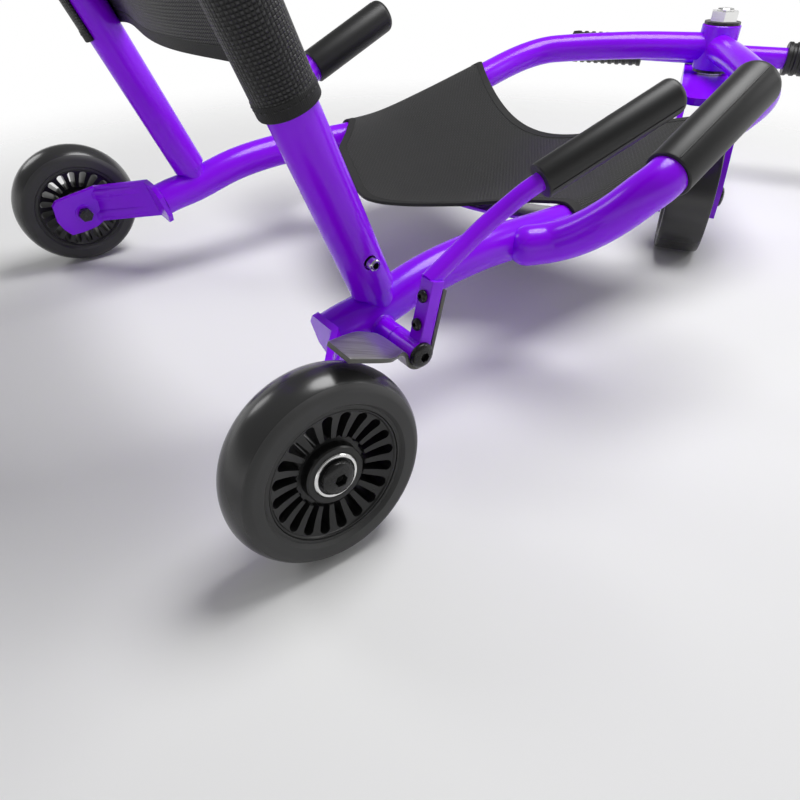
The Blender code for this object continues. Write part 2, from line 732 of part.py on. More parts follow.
# Backrest
def make_hoop(root, tube_cutters):
    """The backrest hoop, which slips over two stubs of the frame and is screwed to them."""
    up = hoop_point(1.0) - hoop_point(0.0)
    across = HOOP_HALF_WIDTH
    corners = [hoop_point(0.0, across), hoop_point(HOOP_LENGTH, across),
               hoop_point(HOOP_LENGTH, -across), hoop_point(0.0, -across)]
    path = bent(corners, HOOP_CORNER, 7)
    hoop = place("backrest_hoop", tube_mesh("backrest_hoop", path, TUBE_RADIUS),
                 MATERIALS["purple"], root)
    for side, sign in SIDES.items():
        foot = mirrored(side, hoop_point(0.0))
        rise = turn_to(up)
        bore = cylinder_mesh(f"hoop_bore_{side}", HOOP_BORE, -0.01, STUB_REACH + 0.003, TUBE_SIDES)
        combine(hoop, place_cutter(bore.name, bore, root, foot, rise))
        name = f"backrest_stub_{side}"
        stub = place(name, cylinder_mesh(name, STUB_RADIUS, STUB_LOW, STUB_REACH, TUBE_SIDES),
                     MATERIALS["purple"], root, foot, rise)
        combine(stub, tube_cutters[side])

        screw_place = mirrored(side, hoop_point(SCREW_UP))
        outward = turn_to((sign, 0, 0))
        hole = cylinder_mesh(f"screw_hole_{side}", SCREW_HOLE, STUB_RADIUS - 0.001, 0.03, 16)
        combine(hoop, place_cutter(hole.name, hole, root, screw_place, outward))
        drill = cylinder_mesh(f"screw_drill_{side}", SCREW_SHANK + GAP, -0.03, 0.03, 12)
        combine(stub, place_cutter(drill.name, drill, root, screw_place, outward))
        seat = STUB_RADIUS + GAP
        top = TUBE_RADIUS + SCREW_PROUD
        section = [(0, top), (SCREW_HEAD - 0.0006, top), (SCREW_HEAD, top - 0.0006),
                   (SCREW_HEAD, seat), (SCREW_SHANK, seat), (SCREW_SHANK, -STUB_RADIUS + 0.001),
                   (0, -STUB_RADIUS + 0.001)]
        screw = turned(f"hoop_screw_{side}", section, MATERIALS["steel"], root, screw_place,
                       outward, steps=10, closed=False)
        socket_cut(screw, SCREW_SOCKET, top, root, screw_place, outward)


# Slings
def sling_rows(half_width, sag, ease, centre_line, rise, near_edge, far_edge, steps):
    """Rows of points across a sling that hangs between two tubes and wraps round them."""
    wrap = math.radians(WRAP_END_DEGREES)
    radius = (TUBE_RADIUS + ease + SLING_THICKNESS / 2) / math.cos(wrap / WRAP_STEPS / 2)
    section = []
    for i in range(WRAP_STEPS):
        angle = wrap * (1 - i / WRAP_STEPS)
        section.append((half_width + radius * math.sin(angle), radius * math.cos(angle)))
    for i in range(SPAN_STEPS // 2 + 1):
        x = half_width * (1 - 2 * i / SPAN_STEPS)
        section.append((x, radius - sag * (1 + math.cos(math.pi * x / half_width)) / 2))
    section += [(-x, height) for x, height in section[-2::-1]]
    rows = []
    for x, height in section:
        across = min(abs(x), half_width)
        near = near_edge(across)
        far = far_edge(across)
        row = []
        for step in range(steps + 1):
            along = near + (far - near) * step / steps
            row.append(centre_line(along) + Vector((x, 0, 0)) + rise * height)
        rows.append(row)
    return rows


def make_seat(root):
    """The sling seat on the side tubes and the metal strap that crosses under it."""
    def seat_rear(across):
        return between_knots(SEAT_REAR, across)

    def seat_front(across):
        return SEAT_WRAP_FRONT - SEAT_FRONT_HOLLOW * (1 - (across / FRAME_HALF_WIDTH) ** 2)

    def tube_line(y):
        return Vector((0, y, tube_height(y)))

    rows = sling_rows(FRAME_HALF_WIDTH, SEAT_SAG, SEAT_WRAP_EASE, tube_line,
                      Vector((0, 0, 1)), seat_rear, seat_front, SEAT_STEPS)
    sheet("seat_sling", rows, SLING_THICKNESS, MATERIALS["weave"], root)

    end = FRAME_HALF_WIDTH - TUBE_RADIUS - GAP
    strap = []
    for i in range(STRAP_STEPS + 1):
        x = end * (2 * i / STRAP_STEPS - 1)
        height = STRAP_MIDDLE_HEIGHT + (STRAP_END_HEIGHT - STRAP_MIDDLE_HEIGHT) * (x / end) ** 2
        strap.append([Vector((x, STRAP_REAR, height)), Vector((x, STRAP_FRONT, height))])
    sheet("seat_cross_strap", strap, STRAP_THICKNESS, MATERIALS["purple"], root)


def make_panel(root):
    """The woven backrest panel between the legs of the hoop."""
    def panel_low(across):
        return PANEL_LOW + PANEL_EDGE_HOLLOW * (1 - (across / HOOP_HALF_WIDTH) ** 2)

    def panel_high(across):
        return PANEL_HIGH - PANEL_EDGE_HOLLOW * (1 - (across / HOOP_HALF_WIDTH) ** 2)

    def leg_line(up):
        return hoop_point(up, 0.0)

    lean = math.radians(HOOP_LEAN_DEGREES)
    forward = Vector((0, math.cos(lean), math.sin(lean)))
    rows = sling_rows(HOOP_HALF_WIDTH, PANEL_SAG, PANEL_WRAP_EASE, leg_line, forward,
                      panel_low, panel_high, PANEL_STEPS)
    sheet("backrest_panel", rows, SLING_THICKNESS, MATERIALS["weave"], root)


# Side handles
def grip_section(radius, bore, length, cap):
    """The section of a closed rubber grip, whose mouth is at the bottom."""
    end = [(0, length)]
    for across, height in arc((0, 0), 1.0, 65, 0, 3):
        end.append((radius - cap * (1 - across), length - cap * (1 - height)))
    return end + [(radius, 0), (bore, 0), (bore, length - cap), (0, length - cap)]


def make_side_handles(root, tube_cutters):
    """The horns that rise from the frame beside the seat, with a grip on each."""
    direction = Vector(GRIP_DIRECTION).normalized()
    grip_foot = Vector(GRIP_FOOT)
    line = smooth(HANDLE_PATH + [GRIP_FOOT], TUBE_STEP / 1.5, last=direction)
    line.append(grip_foot + direction * (GRIP_LENGTH - GRIP_CAP / 2 - GAP))
    line.insert(-1, grip_foot + direction * GRIP_CAP)
    start = (line[0] - line[1]).normalized()
    nose = [line[0] + start * TUBE_RADIUS * math.cos(math.radians(a)) for a in (20, 42, 66)]
    scales = [math.sin(math.radians(a)) for a in (20, 42, 66)] + [1.0] * len(line)
    for side in SIDES:
        path = [mirrored(side, point) for point in nose + line]
        name = f"side_handle_{side}"
        handle = place(name, tube_mesh(name, path, TUBE_RADIUS, scales=scales),
                       MATERIALS["purple"], root)
        combine(handle, tube_cutters[side])
        bore = bore_round(TUBE_RADIUS, SMALL_STEPS)
        section = grip_section(GRIP_RADIUS, bore, GRIP_LENGTH, GRIP_CAP)
        turned(f"handle_grip_{side}", section, MATERIALS["grip"], root,
               mirrored(side, grip_foot + direction * GRIP_CAP / 2),
               turn_to(mirrored(side, direction)), closed=False)


# Brake
def shoe_rows():
    """The brake shoe's strip, from its top down round the sleeve and back over the tyre."""
    radius = BRAKE_TUBE_RADIUS + GAP + SHOE_THICKNESS / 2
    inner = BRACKET_INNER_X
    outer = BRACKET_OUTER_X
    rows = []
    for up in (SHOE_TOP, SHOE_TOP / 2):
        rows.append([bracket_point(x, radius, up) for x in (inner, outer)])
    wrap = arc((BRAKE_Y, BRAKE_Z), radius, -BRACKET_LEAN_DEGREES, SHOE_WRAP_END_DEGREES, 8)
    for y, z in wrap:
        rows.append([Vector((inner, y, z)), Vector((outer, y, z))])
    for y, z, near_x, far_x in SHOE_STATIONS:
        rows.append([Vector((near_x, y, z)), Vector((far_x, y, z))])
    return rows


def make_brake(root, tube_cutters):
    """The brake: a lever on a bracket that turns about a stub and presses a strip on the tyre."""
    pivot = (0, BRAKE_Y, BRAKE_Z)
    outward = turn_to((1, 0, 0))
    name = "brake_stub"
    stub = place(name, cylinder_mesh(name, BRAKE_TUBE_RADIUS, FRAME_HALF_WIDTH, BRAKE_STUB_END,
                                     SMALL_STEPS), MATERIALS["purple"], root, pivot, outward)
    combine(stub, tube_cutters["right"])
    tapped = BRAKE_STUB_END - BRAKE_THREAD_LENGTH
    bore = cylinder_mesh("brake_bore", BRAKE_BOLT_SHANK + GAP, tapped - GAP, BRACKET_OUTER_X + 0.02,
                         SMALL_STEPS)
    bore_cutter = place_cutter(bore.name, bore, root, pivot, outward)
    combine(stub, bore_cutter)

    brake = make_empty("brake_axis", root, pivot)
    lean = (-math.radians(BRACKET_LEAN_DEGREES), 0, 0)
    inside = BRACKET_SHEET
    channel = [(BRACKET_INNER_X, BRACKET_REAR), (BRACKET_OUTER_X, BRACKET_REAR),
               (BRACKET_OUTER_X, BRACKET_FRONT), (BRACKET_OUTER_X - inside, BRACKET_FRONT),
               (BRACKET_OUTER_X - inside, BRACKET_REAR + inside),
               (BRACKET_INNER_X + inside, BRACKET_REAR + inside),
               (BRACKET_INNER_X + inside, BRACKET_FRONT), (BRACKET_INNER_X, BRACKET_FRONT)]
    bracket_middle = bracket_point(0, 0, BRACKET_TOP / 2) - Vector(pivot)
    bracket = place("brake_bracket", outline_mesh("brake_bracket", [channel], BRACKET_TOP),
                    MATERIALS["purple"], brake, bracket_middle, lean)
    sleeve = cylinder_mesh("sleeve_form", BRAKE_TUBE_RADIUS, BRAKE_STUB_END + GAP,
                           BRACKET_OUTER_X - 0.0002, SMALL_STEPS)
    combine(bracket, place_cutter(sleeve.name, sleeve, root, pivot, outward), "UNION")
    combine(bracket, bore_cutter)

    shoe = place("brake_shoe", sheet_mesh("brake_shoe", [[point - Vector(pivot) for point in row]
                                                         for row in shoe_rows()]),
                 MATERIALS["strip"], brake)
    solidify = shoe.modifiers.new("thickness", "SOLIDIFY")
    solidify.thickness = SHOE_THICKNESS
    solidify.offset = 0.0
    solidify.use_even_offset = True

    section = dome_section(BRAKE_BOLT_HEAD, BRAKE_BOLT_HEIGHT, BRAKE_BOLT_SHANK,
                           BRACKET_OUTER_X + GAP, tapped)
    bolt = turned("brake_pivot_bolt", section, MATERIALS["bolt"], root, pivot, outward,
                  closed=False)
    socket_cut(bolt, BRAKE_BOLT_SOCKET, BRACKET_OUTER_X + BRAKE_BOLT_HEIGHT, root, pivot, outward)

    rearward = turn_to(bracket_point(0, -1, 0) - bracket_point(0, 0, 0))
    shoe_front = BRAKE_TUBE_RADIUS + GAP + SHOE_THICKNESS
    for place_name, up in BUTTON_UPS.items():
        middle_x = (BRACKET_INNER_X + BRACKET_OUTER_X) / 2
        spot = bracket_point(middle_x, 0, up) - Vector(pivot)
        drill = cylinder_mesh(f"button_drill_{place_name}", BUTTON_SHANK + GAP, -0.03, 0.03, 12)
        drill_cutter = place_cutter(drill.name, drill, brake, spot, rearward)
        combine(bracket, drill_cutter)
        combine(shoe, drill_cutter)
        section = dome_section(BUTTON_RADIUS, BUTTON_HEIGHT, BUTTON_SHANK, -BRACKET_REAR + GAP,
                               -shoe_front - 0.001)
        button = turned(f"brake_button_{place_name}", section, MATERIALS["bolt"], brake, spot,
                        rearward, steps=10, closed=False)
        socket_cut(button, BUTTON_SOCKET, -BRACKET_REAR + BUTTON_HEIGHT, brake, spot, rearward)

    make_lever(brake, bracket)


def make_lever(brake, bracket):
    """The brake lever, welded into the top of the bracket, and its grip."""
    straight = Vector(LEVER_GRIP_DIRECTION).normalized()
    grip_foot = Vector(LEVER_GRIP_FOOT) - brake.location
    knots = [Vector(point) - brake.location for point in LEVER_PATH]
    path = smooth(knots, TUBE_STEP, last=straight)
    path.append(grip_foot + straight * (LEVER_GRIP_LENGTH - LEVER_GRIP_CAP - GAP))
    place("brake_lever", tube_mesh("brake_lever", path, LEVER_RADIUS, SMALL_TUBE_SIDES),
          MATERIALS["purple"], brake)
    behind = (path[0] - path[1]).normalized() * GAP
    seat = tube_mesh("lever_seat", [path[0] + behind] + path[1:3], LEVER_RADIUS + GAP,
                     SMALL_TUBE_SIDES)
    combine(bracket, place_cutter(seat.name, seat, brake))
    section = grip_section(LEVER_GRIP_RADIUS, bore_round(LEVER_RADIUS, SMALL_STEPS),
                           LEVER_GRIP_LENGTH, LEVER_GRIP_CAP)
    turned("brake_lever_grip", section, MATERIALS["grip"], brake, grip_foot, turn_to(straight),
           closed=False)


# Front swing
def fork_outline():
    """The side view of a fork plate, (forward from the pivot, height), round its hub end."""
    hub_y = -TRAIL
    hub_z = WHEEL_RADIUS
    back = hub_y - FORK_HUB_RADIUS
    slope = math.radians(FORK_SLOPE_DEGREES)
    rise = CROWN_TOP - FORK_BACK_HIGH
    underside = CROWN_TOP - FORK_DEPTH
    front_foot = (hub_y + FORK_HUB_RADIUS, hub_z + 0.006)
    knee = (CROWN_REAR + 0.012, underside)
    low = arc((hub_y, hub_z), FORK_HUB_RADIUS, -140, -5, 8)
    top = [(CROWN_FRONT, CROWN_TOP), (back + rise / math.tan(slope), CROWN_TOP)]
    heel = [(back, FORK_BACK_HIGH), (back, FORK_BACK_LOW)]
    return low + [front_foot, knee, (CROWN_FRONT - 0.02, underside),
                  (CROWN_FRONT, underside + 0.008)] + top + heel


def rounded_box_outline(half_width, near, far, corner):
    """A rectangle with rounded corners."""
    outline = []
    for centre, start in (((half_width - corner, far - corner), 0),
                          ((corner - half_width, far - corner), 90),
                          ((corner - half_width, near + corner), 180),
                          ((half_width - corner, near + corner), 270)):
        outline += arc(centre, corner, start, start + 90, 4)
    return outline


def make_front_swing(root):
    """The swinging fork with its foot bar and the front wheel that trails behind its pivot."""
    swing = make_empty("swing_axis", root, (0, PIVOT_Y, 0), (0, 0, math.radians(SWING_DEGREES)))
    axle = make_empty("axle_front", swing, (0, -TRAIL, WHEEL_RADIUS))
    sideways = (math.pi / 2, 0, math.pi / 2)
    drill = cylinder_mesh("fork_axle_hole", AXLE_RADIUS + GAP, -0.05, 0.05, SMALL_STEPS)
    drill_cutter = place_cutter(drill.name, drill, axle, rotation=(0, math.pi / 2, 0))
    for side, sign in SIDES.items():
        name = f"fork_plate_{side}"
        plate = place(name, outline_mesh(name, [fork_outline()], FORK_SHEET), MATERIALS["purple"],
                      swing, (sign * (FORK_INNER + FORK_SHEET / 2), 0, 0), sideways)
        combine(plate, drill_cutter)

    crown = rounded_box_outline(FORK_INNER - GAP, CROWN_REAR, CROWN_FRONT, CROWN_CORNER)
    hole = polygon(SPINDLE_FOOT + GAP, 20)
    place("fork_crown", outline_mesh("fork_crown", [crown, hole], CROWN_SHEET),
          MATERIALS["purple"], swing, (0, 0, CROWN_TOP - CROWN_SHEET / 2))

    bush_top = HEAD_HEIGHT + HEAD_LENGTH / 2 + GAP + BUSH_FLANGE
    nut_bottom = bush_top + GAP
    spindle_top = nut_bottom + SPINDLE_NUT_HEIGHT + 0.003
    collar_low = CROWN_TOP + GAP
    collar_high = HEAD_HEIGHT - HEAD_LENGTH / 2 - 2 * GAP - BUSH_FLANGE
    spindle = [(0, spindle_top), (SPINDLE_RADIUS - 0.001, spindle_top),
               (SPINDLE_RADIUS, spindle_top - 0.001), (SPINDLE_RADIUS, collar_high),
               (COLLAR_RADIUS, collar_high), (COLLAR_RADIUS, collar_low),
               (SPINDLE_FOOT, collar_low), (SPINDLE_FOOT, CROWN_TOP - CROWN_SHEET),
               (0, CROWN_TOP - CROWN_SHEET)]
    turned("steering_spindle", spindle, MATERIALS["steel"], swing, closed=False)
    nut("spindle_nut", SPINDLE_NUT_FLATS, SPINDLE_RADIUS + GAP, SPINDLE_NUT_HEIGHT,
        MATERIALS["steel"], swing, (0, 0, nut_bottom + SPINDLE_NUT_HEIGHT / 2), (0, 0, 0))

    bar_height = CROWN_TOP + FOOT_BAR_RADIUS + GAP
    across = (0, math.pi / 2, 0)
    place("foot_bar", cylinder_mesh("foot_bar", FOOT_BAR_RADIUS, -FOOT_BAR_HALF, FOOT_BAR_HALF,
                                    24), MATERIALS["purple"], swing,
          (0, FOOT_BAR_AHEAD, bar_height), across)
    for side, sign in SIDES.items():
        mouth = FOOT_BAR_HALF + PEG_CAP - PEG_LENGTH
        turned(f"foot_peg_{side}", peg_section(), MATERIALS["grip"], swing,
               (sign * mouth, FOOT_BAR_AHEAD, bar_height), turn_to((sign, 0, 0)),
               closed=False)

    fork_outside = FORK_INNER + FORK_SHEET + GAP
    make_wheel("wheel_front", axle, FRONT_TYRE_WIDTH, FRONT_CROWN, FRONT_TREAD_POWER,
               FRONT_RIM_WIDTH, {"_right": FORK_INNER, "_left": -FORK_INNER}, slotted=False)
    make_axle_bolt("wheel_front", axle, fork_outside, -fork_outside)


def peg_section():
    """The section of a ridged rubber foot peg, whose mouth is at the bottom."""
    bore = bore_round(FOOT_BAR_RADIUS, SMALL_STEPS)
    ridged = PEG_LENGTH - 2 * PEG_CAP
    pitch = ridged / PEG_RIDGES
    outside = [(0, PEG_LENGTH), (PEG_RADIUS - PEG_CAP / 2, PEG_LENGTH)]
    for ridge in range(PEG_RIDGES, 0, -1):
        top = PEG_CAP + ridge * pitch
        outside += [(PEG_RADIUS, top - 0.2 * pitch), (PEG_RADIUS, top - 0.75 * pitch),
                    (PEG_RADIUS - PEG_GROOVE, top - pitch)]
    seat = PEG_LENGTH - PEG_CAP + GAP
    return outside + [(PEG_RADIUS, PEG_CAP / 2), (PEG_RADIUS, 0), (bore, 0), (bore, seat),
                      (0, seat)]


def centre_on_footprint(root):
    """Move the whole so that the origin is the centre of its box, on the ground."""
    depsgraph = bpy.context.evaluated_depsgraph_get()
    corners = []
    for piece in parts.objects:
        if piece.type == "MESH":
            evaluated = piece.evaluated_get(depsgraph)
            corners += [evaluated.matrix_world @ vertex.co for vertex in evaluated.data.vertices]
    low = [min(corner[i] for corner in corners) for i in range(3)]
    high = [max(corner[i] for corner in corners) for i in range(3)]
    root.location = (-(low[0] + high[0]) / 2, -(low[1] + high[1]) / 2, -low[2])


def main():
    """Build the scooter."""
    root = make_empty("scooter", None)
    tube_cutters = make_frame(root)
    make_rear_wheels(root)
    make_rear_arms(root)
    make_hoop(root, tube_cutters)
    make_seat(root)
    make_panel(root)
    make_side_handles(root, tube_cutters)
    make_brake(root, tube_cutters)
    make_front_swing(root)
    centre_on_footprint(root)


for old in list(bpy.data.objects):
    bpy.data.objects.remove(old)
parts = make_collection("sit_down_scooter")
cutters = make_collection("cutters")
MATERIALS = {
    "purple": make_material("purple_paint", (0.22, 0.005, 0.72), 0.2),
    "tyre": make_material("tyre_grey", (0.035, 0.035, 0.038), 0.35),
    "black": make_material("black_plastic", (0.010, 0.010, 0.012), 0.4),
    "grip": make_material("black_rubber", (0.020, 0.020, 0.022), 0.55),
    "weave": make_material("black_weave", (0.018, 0.018, 0.020), 0.7),
    "bolt": make_material("black_bolt", (0.015, 0.015, 0.016), 0.3, 0.6),
    "steel": make_material("bright_steel", (0.62, 0.62, 0.64), 0.25, 1.0),
    "strip": make_material("grey_steel", (0.33, 0.32, 0.34), 0.45, 0.8),
}
main()
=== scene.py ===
"""The looks of the sit-down scooter: glossy purple tubes, cast tyres on slotted cores, a woven
sling seat and backrest, rubber grips and a brushed brake strip, on a pale floor.

Metres. Points are written from the middle of the rear axle line on the ground, as the frame's
construction has them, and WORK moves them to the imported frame. The section of a turned piece is
a list of (radius, place along its axis).
"""
import json
from itertools import accumulate
from math import copysign, cos, dist, hypot, pi, radians, sin, sqrt, tan, tau

import bmesh
import bpy
from mathutils import Matrix, Vector
from mathutils.geometry import interpolate_bezier

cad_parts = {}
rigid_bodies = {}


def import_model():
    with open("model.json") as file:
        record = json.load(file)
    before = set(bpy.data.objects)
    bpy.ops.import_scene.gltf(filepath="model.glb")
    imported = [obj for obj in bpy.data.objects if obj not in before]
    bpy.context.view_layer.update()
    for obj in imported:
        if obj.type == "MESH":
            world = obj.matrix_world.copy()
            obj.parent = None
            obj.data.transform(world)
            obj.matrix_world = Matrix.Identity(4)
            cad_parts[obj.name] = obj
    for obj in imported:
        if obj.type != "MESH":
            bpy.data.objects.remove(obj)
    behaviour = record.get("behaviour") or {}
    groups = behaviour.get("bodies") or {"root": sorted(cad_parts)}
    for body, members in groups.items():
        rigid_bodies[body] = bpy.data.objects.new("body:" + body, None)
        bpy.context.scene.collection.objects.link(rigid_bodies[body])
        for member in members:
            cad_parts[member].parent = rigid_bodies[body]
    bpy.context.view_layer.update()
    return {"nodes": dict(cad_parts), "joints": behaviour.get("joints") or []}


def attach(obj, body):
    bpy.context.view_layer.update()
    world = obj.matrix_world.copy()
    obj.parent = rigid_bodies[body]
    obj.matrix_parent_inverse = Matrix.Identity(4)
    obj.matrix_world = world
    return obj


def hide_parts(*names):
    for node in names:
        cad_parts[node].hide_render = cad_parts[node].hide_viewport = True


# Camera, from the middle of the rear axle line
CAMERA_PLACE = (0.5009, -0.126, 0.3156)
CAMERA_PITCH = 0.654
CAMERA_YAW = 0.930
CAMERA_LENS = 28.72

# Studio: where and how far the white surround fades to grey, then each lamp's place, target,
# size and power
WORLD_FADE = (0.02, 0.42)
WORLD_STRENGTHS = (1.0, 0.20)
FLOOR_SIZE = 8
FLOOR_CENTRE = (0.10, 0.25, 0.0)
FLOOR_FADE = (0.55, 1.15)
LAMPS = {
    "overhead": ((0.12, 0.66, 1.30), (0.05, 0.15, 0.0), (0.80, 0.80), 16.0),
    "left_lamp": ((-1.5, -0.7, 1.2), (0.0, 0.1, 0.1), (0.7, 0.9), 7.0),
    "front_lamp": ((0.9, 1.9, 1.1), (0.0, 0.2, 0.1), (0.8, 0.8), 6.0),
}

# Facets and edges
ROUND = 96
SMALL_ROUND = 48
TUBE_SIDES = 48
PATH_STEP = 0.006
SHARP_DEGREES = 35
SMALL_EDGE = 0.0004
GAP = 0.0003
ARC_STEPS = 24
MERGE_DISTANCE = 0.00001

# Wheels: each tyre's width, crown and tread power, and its rim's width
WHEEL_RADIUS = 0.0625
REAR_WHEEL = (0.036, 0.0102, 1.75, 0.0296)
FRONT_WHEEL = (0.0455, 0.0045, 7.0, 0.034)
TREAD_STEPS = 40
TREAD_BAND = 0.52
TYRE_LIP_RADIUS = 0.0442
TYRE_LIP_INSET = 0.0028
TYRE_LIP_EDGES = [(0.0018, 0.0003), (0.0012, 0.0010)]
TYRE_SEAT_PROUD = 0.0017
TYRE_SEAT_EASE = 0.0002
RIM_RADIUS = 0.042
RIM_THICKNESS = 0.002
RIM_EDGE = 0.0006
BLADE_FACE = [(0.0398, 0.0138), (0.0360, 0.0126), (0.0315, 0.0114), (0.0265, 0.0106),
              (0.0226, 0.0102), (0.0222, 0.0098)]
GROOVE_HALF = 0.0075
HUB_RADIUS = 0.0185
HUB_EDGE = 0.0008
SPOKE_COUNT = 20
SPOKE_SHARE = 0.42
SLOT_HUB_GAP = 0.0025
SLOT_RIM_GAP = 0.0004
SLOT_INNER_END = 0.10
SLOT_OUTER_END = 0.16
SLOT_LEAST_SHARE = 0.12
SLOT_STEPS = 30
SLOT_DEPTH = 0.04
CORE_BEVEL = 0.0003
REAR_TRACK = 0.5158
REAR_CAMBER_DEGREES = 5.5

# Axles and bearings: the edges of a shield are how far from a race and how deep
AXLE_RADIUS = 0.0057
AXLE_END = 0.0075
BEARING_RADIUS = 0.014
BEARING_WIDTH = 0.008
BEARING_FACE = 0.0147
BEARING_SHOULDER = 0.002
INNER_RACE = 0.0022
OUTER_RACE = 0.0019
RACE_EDGE = 0.0005
SHIELD_INNER = (0.0002, 0.0010)
SHIELD_OUTER = (0.0006, 0.0008)
SHIELD_DEPTH = 0.002
BOLT_HEAD = (0.0105, 0.0052)
BOLT_SOCKET = (0.0072, 0.0045)
BOLT_BEVEL = 0.00025
DOME_SHARE = 0.7
DOME_FOOT = 0.28
DOME_ARC = (84, 10, 12)
SHANK_EDGE = 0.001
NUT_SEAT_RADIUS = 0.0095
NUT_SEAT_HEIGHT = 0.0012
NUT_FLATS = 0.0125
NUT_HEIGHT = 0.0058
NUT_BEVEL = 0.0005

# Frame tubes
TUBE_RADIUS = 0.0159
FRAME_HALF_WIDTH = 0.164
FRAME_REAR = (0.0645, 0.0796)
FRAME_REAR_TILT_DEGREES = 15.4
FRAME_REAR_RUN = 0.006
FRAME_SIDE = [(0.100, 0.0868), (0.150, 0.1000), (0.200, 0.1054), (0.250, 0.1046), (0.298, 0.1046),
              (0.345, 0.1083), (0.410, 0.1220), (0.500, 0.1440), (0.555, 0.1575)]
NOSE_BEND = [(0.1578, 0.589, 0.1652), (0.1430, 0.612, 0.1698), (0.0720, 0.683, 0.1762)]
PIVOT_Y = 0.755
HEAD_HEIGHT = 0.177
HEAD_RADIUS = 0.023
HEAD_BORE = 0.0175
HEAD_LENGTH = 0.050
HEAD_EDGE = 0.0008

# Rear arms: ribs and pad are placed by stretches of the arm's outline and shares across it
ARM_THICKNESS = 0.005
ARM_OFFSET = 0.0255
ARM_INNER_X = 0.1575
ARM_BULGE = 0.0085
ARM_BULGE_HEIGHT = 0.020
ARM_BEND_X = 0.183
ARM_TOP = 0.0173
ARM_BOTTOM = -0.0217
ARM_HUB_OUTLINE = [(0.017, 0.0256, -0.0126), (0.009, 0.0240, -0.0173), (-0.005, 0.0215, -0.0200),
                   (-0.018, 0.0192, -0.0208), (-0.0245, 0.0176, -0.0125),
                   (-0.0285, 0.0130, -0.0033)]
ARM_ROWS_ACROSS = 40
ARM_ROWS = 10
RIBBED_ROWS = 60
RIBBED_STRETCH = 2
RIB_HEIGHT = 0.0014
RIB_PLACES = (0.20, 0.80)
RIB_WIDTH = 0.085
RIB_STEEPNESS = 3
RIB_START = (2.15, 0.2)
RIB_END = (3.6, 0.25)
PAD_HEIGHT = 0.0008
PAD_ALONG = (2.74, 3.0)
PAD_ACROSS = (0.14, 0.40)
ARM_BEVEL = 0.0006

# Backrest hoop
HOOP_HALF_WIDTH = 0.1652
HOOP_FOOT = (0.0, 0.0995, 0.107)
HOOP_LEAN_DEGREES = 22.0
HOOP_LENGTH = 0.320
HOOP_CORNER = 0.058
HOOP_CORNER_STEPS = 32
HOOP_BEVEL = 0.0005
STUB_RADIUS = 0.0130
STUB_ENDS = (-0.0205, 0.030)
SCREW_UP = 0.0284
SCREW_HOLE = 0.005
SCREW_HOLE_ENDS = (0.0105, 0.03)
SCREW_HEAD = 0.004
SCREW_PROUD = 0.006
SCREW_FOOT = 0.009
SCREW_EDGE = 0.0007
SCREW_SOCKET = (0.0042, 0.003)

# Sling seat, cross strap and backrest panel
SLING_THICKNESS = 0.0022
SLING_EASE = 0.0006
WRAP_END_DEGREES = 215.0
WRAP_STEPS = 36
SAG_STEPS = 48
SEAT_SAG = 0.0254
SEAT_STEPS = 60
SEAT_REAR = [(0.0, 0.206), (0.020, 0.2102), (0.040, 0.2184), (0.060, 0.2259), (0.080, 0.2338),
             (0.100, 0.2404), (0.130, 0.270), (0.164, 0.2974)]
SEAT_REAR_EASE = 0.006
SEAT_WRAP_FRONT = 0.500
SEAT_FRONT_HOLLOW = 0.060
PANEL_SAG = 0.0186
PANEL_STEPS = 30
PANEL_EDGES = (0.135, 0.257)
PANEL_EDGE_HOLLOW = 0.010
BINDING_WIDTH = 0.009
BINDING_OVER = 0.0006
BINDING_EXTRA = 0.0009
BINDING_STEPS = 6
BINDING_BEVEL = 0.0008
TAPE_RIB_PITCH = 0.0011
WEAVE_PITCH = 0.0022
WEAVE_UNDER = 0.45
WEAVE_POWER = 0.6
STITCH_STEP = 4
STITCH_PITCH = 0.0040
STITCH_SIZE = (0.0013, 0.0004, 0.0003)
STITCH_PROUD = 0.0001
STRAP_EDGES = (0.280, 0.320)
STRAP_HEIGHT = 0.0885
STRAP_RISE = 0.0188
STRAP_THICKNESS = 0.003
STRAP_STEPS = 48
STRAP_INTO_TUBE = 0.001
STRAP_BEVEL = 0.0006

# Side handles
HANDLE_PATH = [(0.1805, 0.239, 0.1055), (0.1925, 0.255, 0.1085), (0.211, 0.264, 0.120),
               (0.2294, 0.2724, 0.1369), (0.2424, 0.2839, 0.1541)]
HANDLE_NOSE_DEGREES = range(8, 81, 12)
GRIP_FOOT = (0.2476, 0.2974, 0.1642)
GRIP_DIRECTION = (-0.05, 0.90, 0.43)
GRIP_LENGTH = 0.115
GRIP_CAP = 0.008
GRIP = (0.0185, TUBE_RADIUS, GRIP_LENGTH, GRIP_CAP)
GRIP_MOUTH = 0.0012
GRIP_DOME = (84, 0, 10)
SEAM_RADIUS = 0.0006
SEAM_START = 0.002
SEAM_STEPS = 12

# Brake, on the right side only
BRAKE_PIVOT = (0.0, 0.0987, 0.080)
BRAKE_TUBE_RADIUS = 0.0085
BRAKE_BOLT = (0.009, 0.0056, 0.004)
BRAKE_BOLT_SOCKET = (0.0062, 0.0045)
BRAKE_STUB_END = 0.1967
BRAKE_WELD = [(0.0, 0.1775), (0.0022, 0.1782), (0.0016, 0.1800), (0.0, 0.1812)]
BRACKET_X = (0.2100, 0.222)
BRACKET_Y = (-0.002, 0.008)
BRACKET_LEAN_DEGREES = 12.9
BRACKET_SHEET = 0.0028
BRACKET_TOP = 0.051
BRACKET_BEVEL = 0.0007
BUTTON_UPS = {"upper": 0.0392, "lower": 0.0194}
BUTTON = (0.0043, 0.0032, 0.0022)
BUTTON_END = 0.0037
BUTTON_SOCKET = (0.003, 0.0018)
SHOE_THICKNESS = 0.0030
SHOE_TOP = 0.0445
SHOE_BEVEL = 0.0005
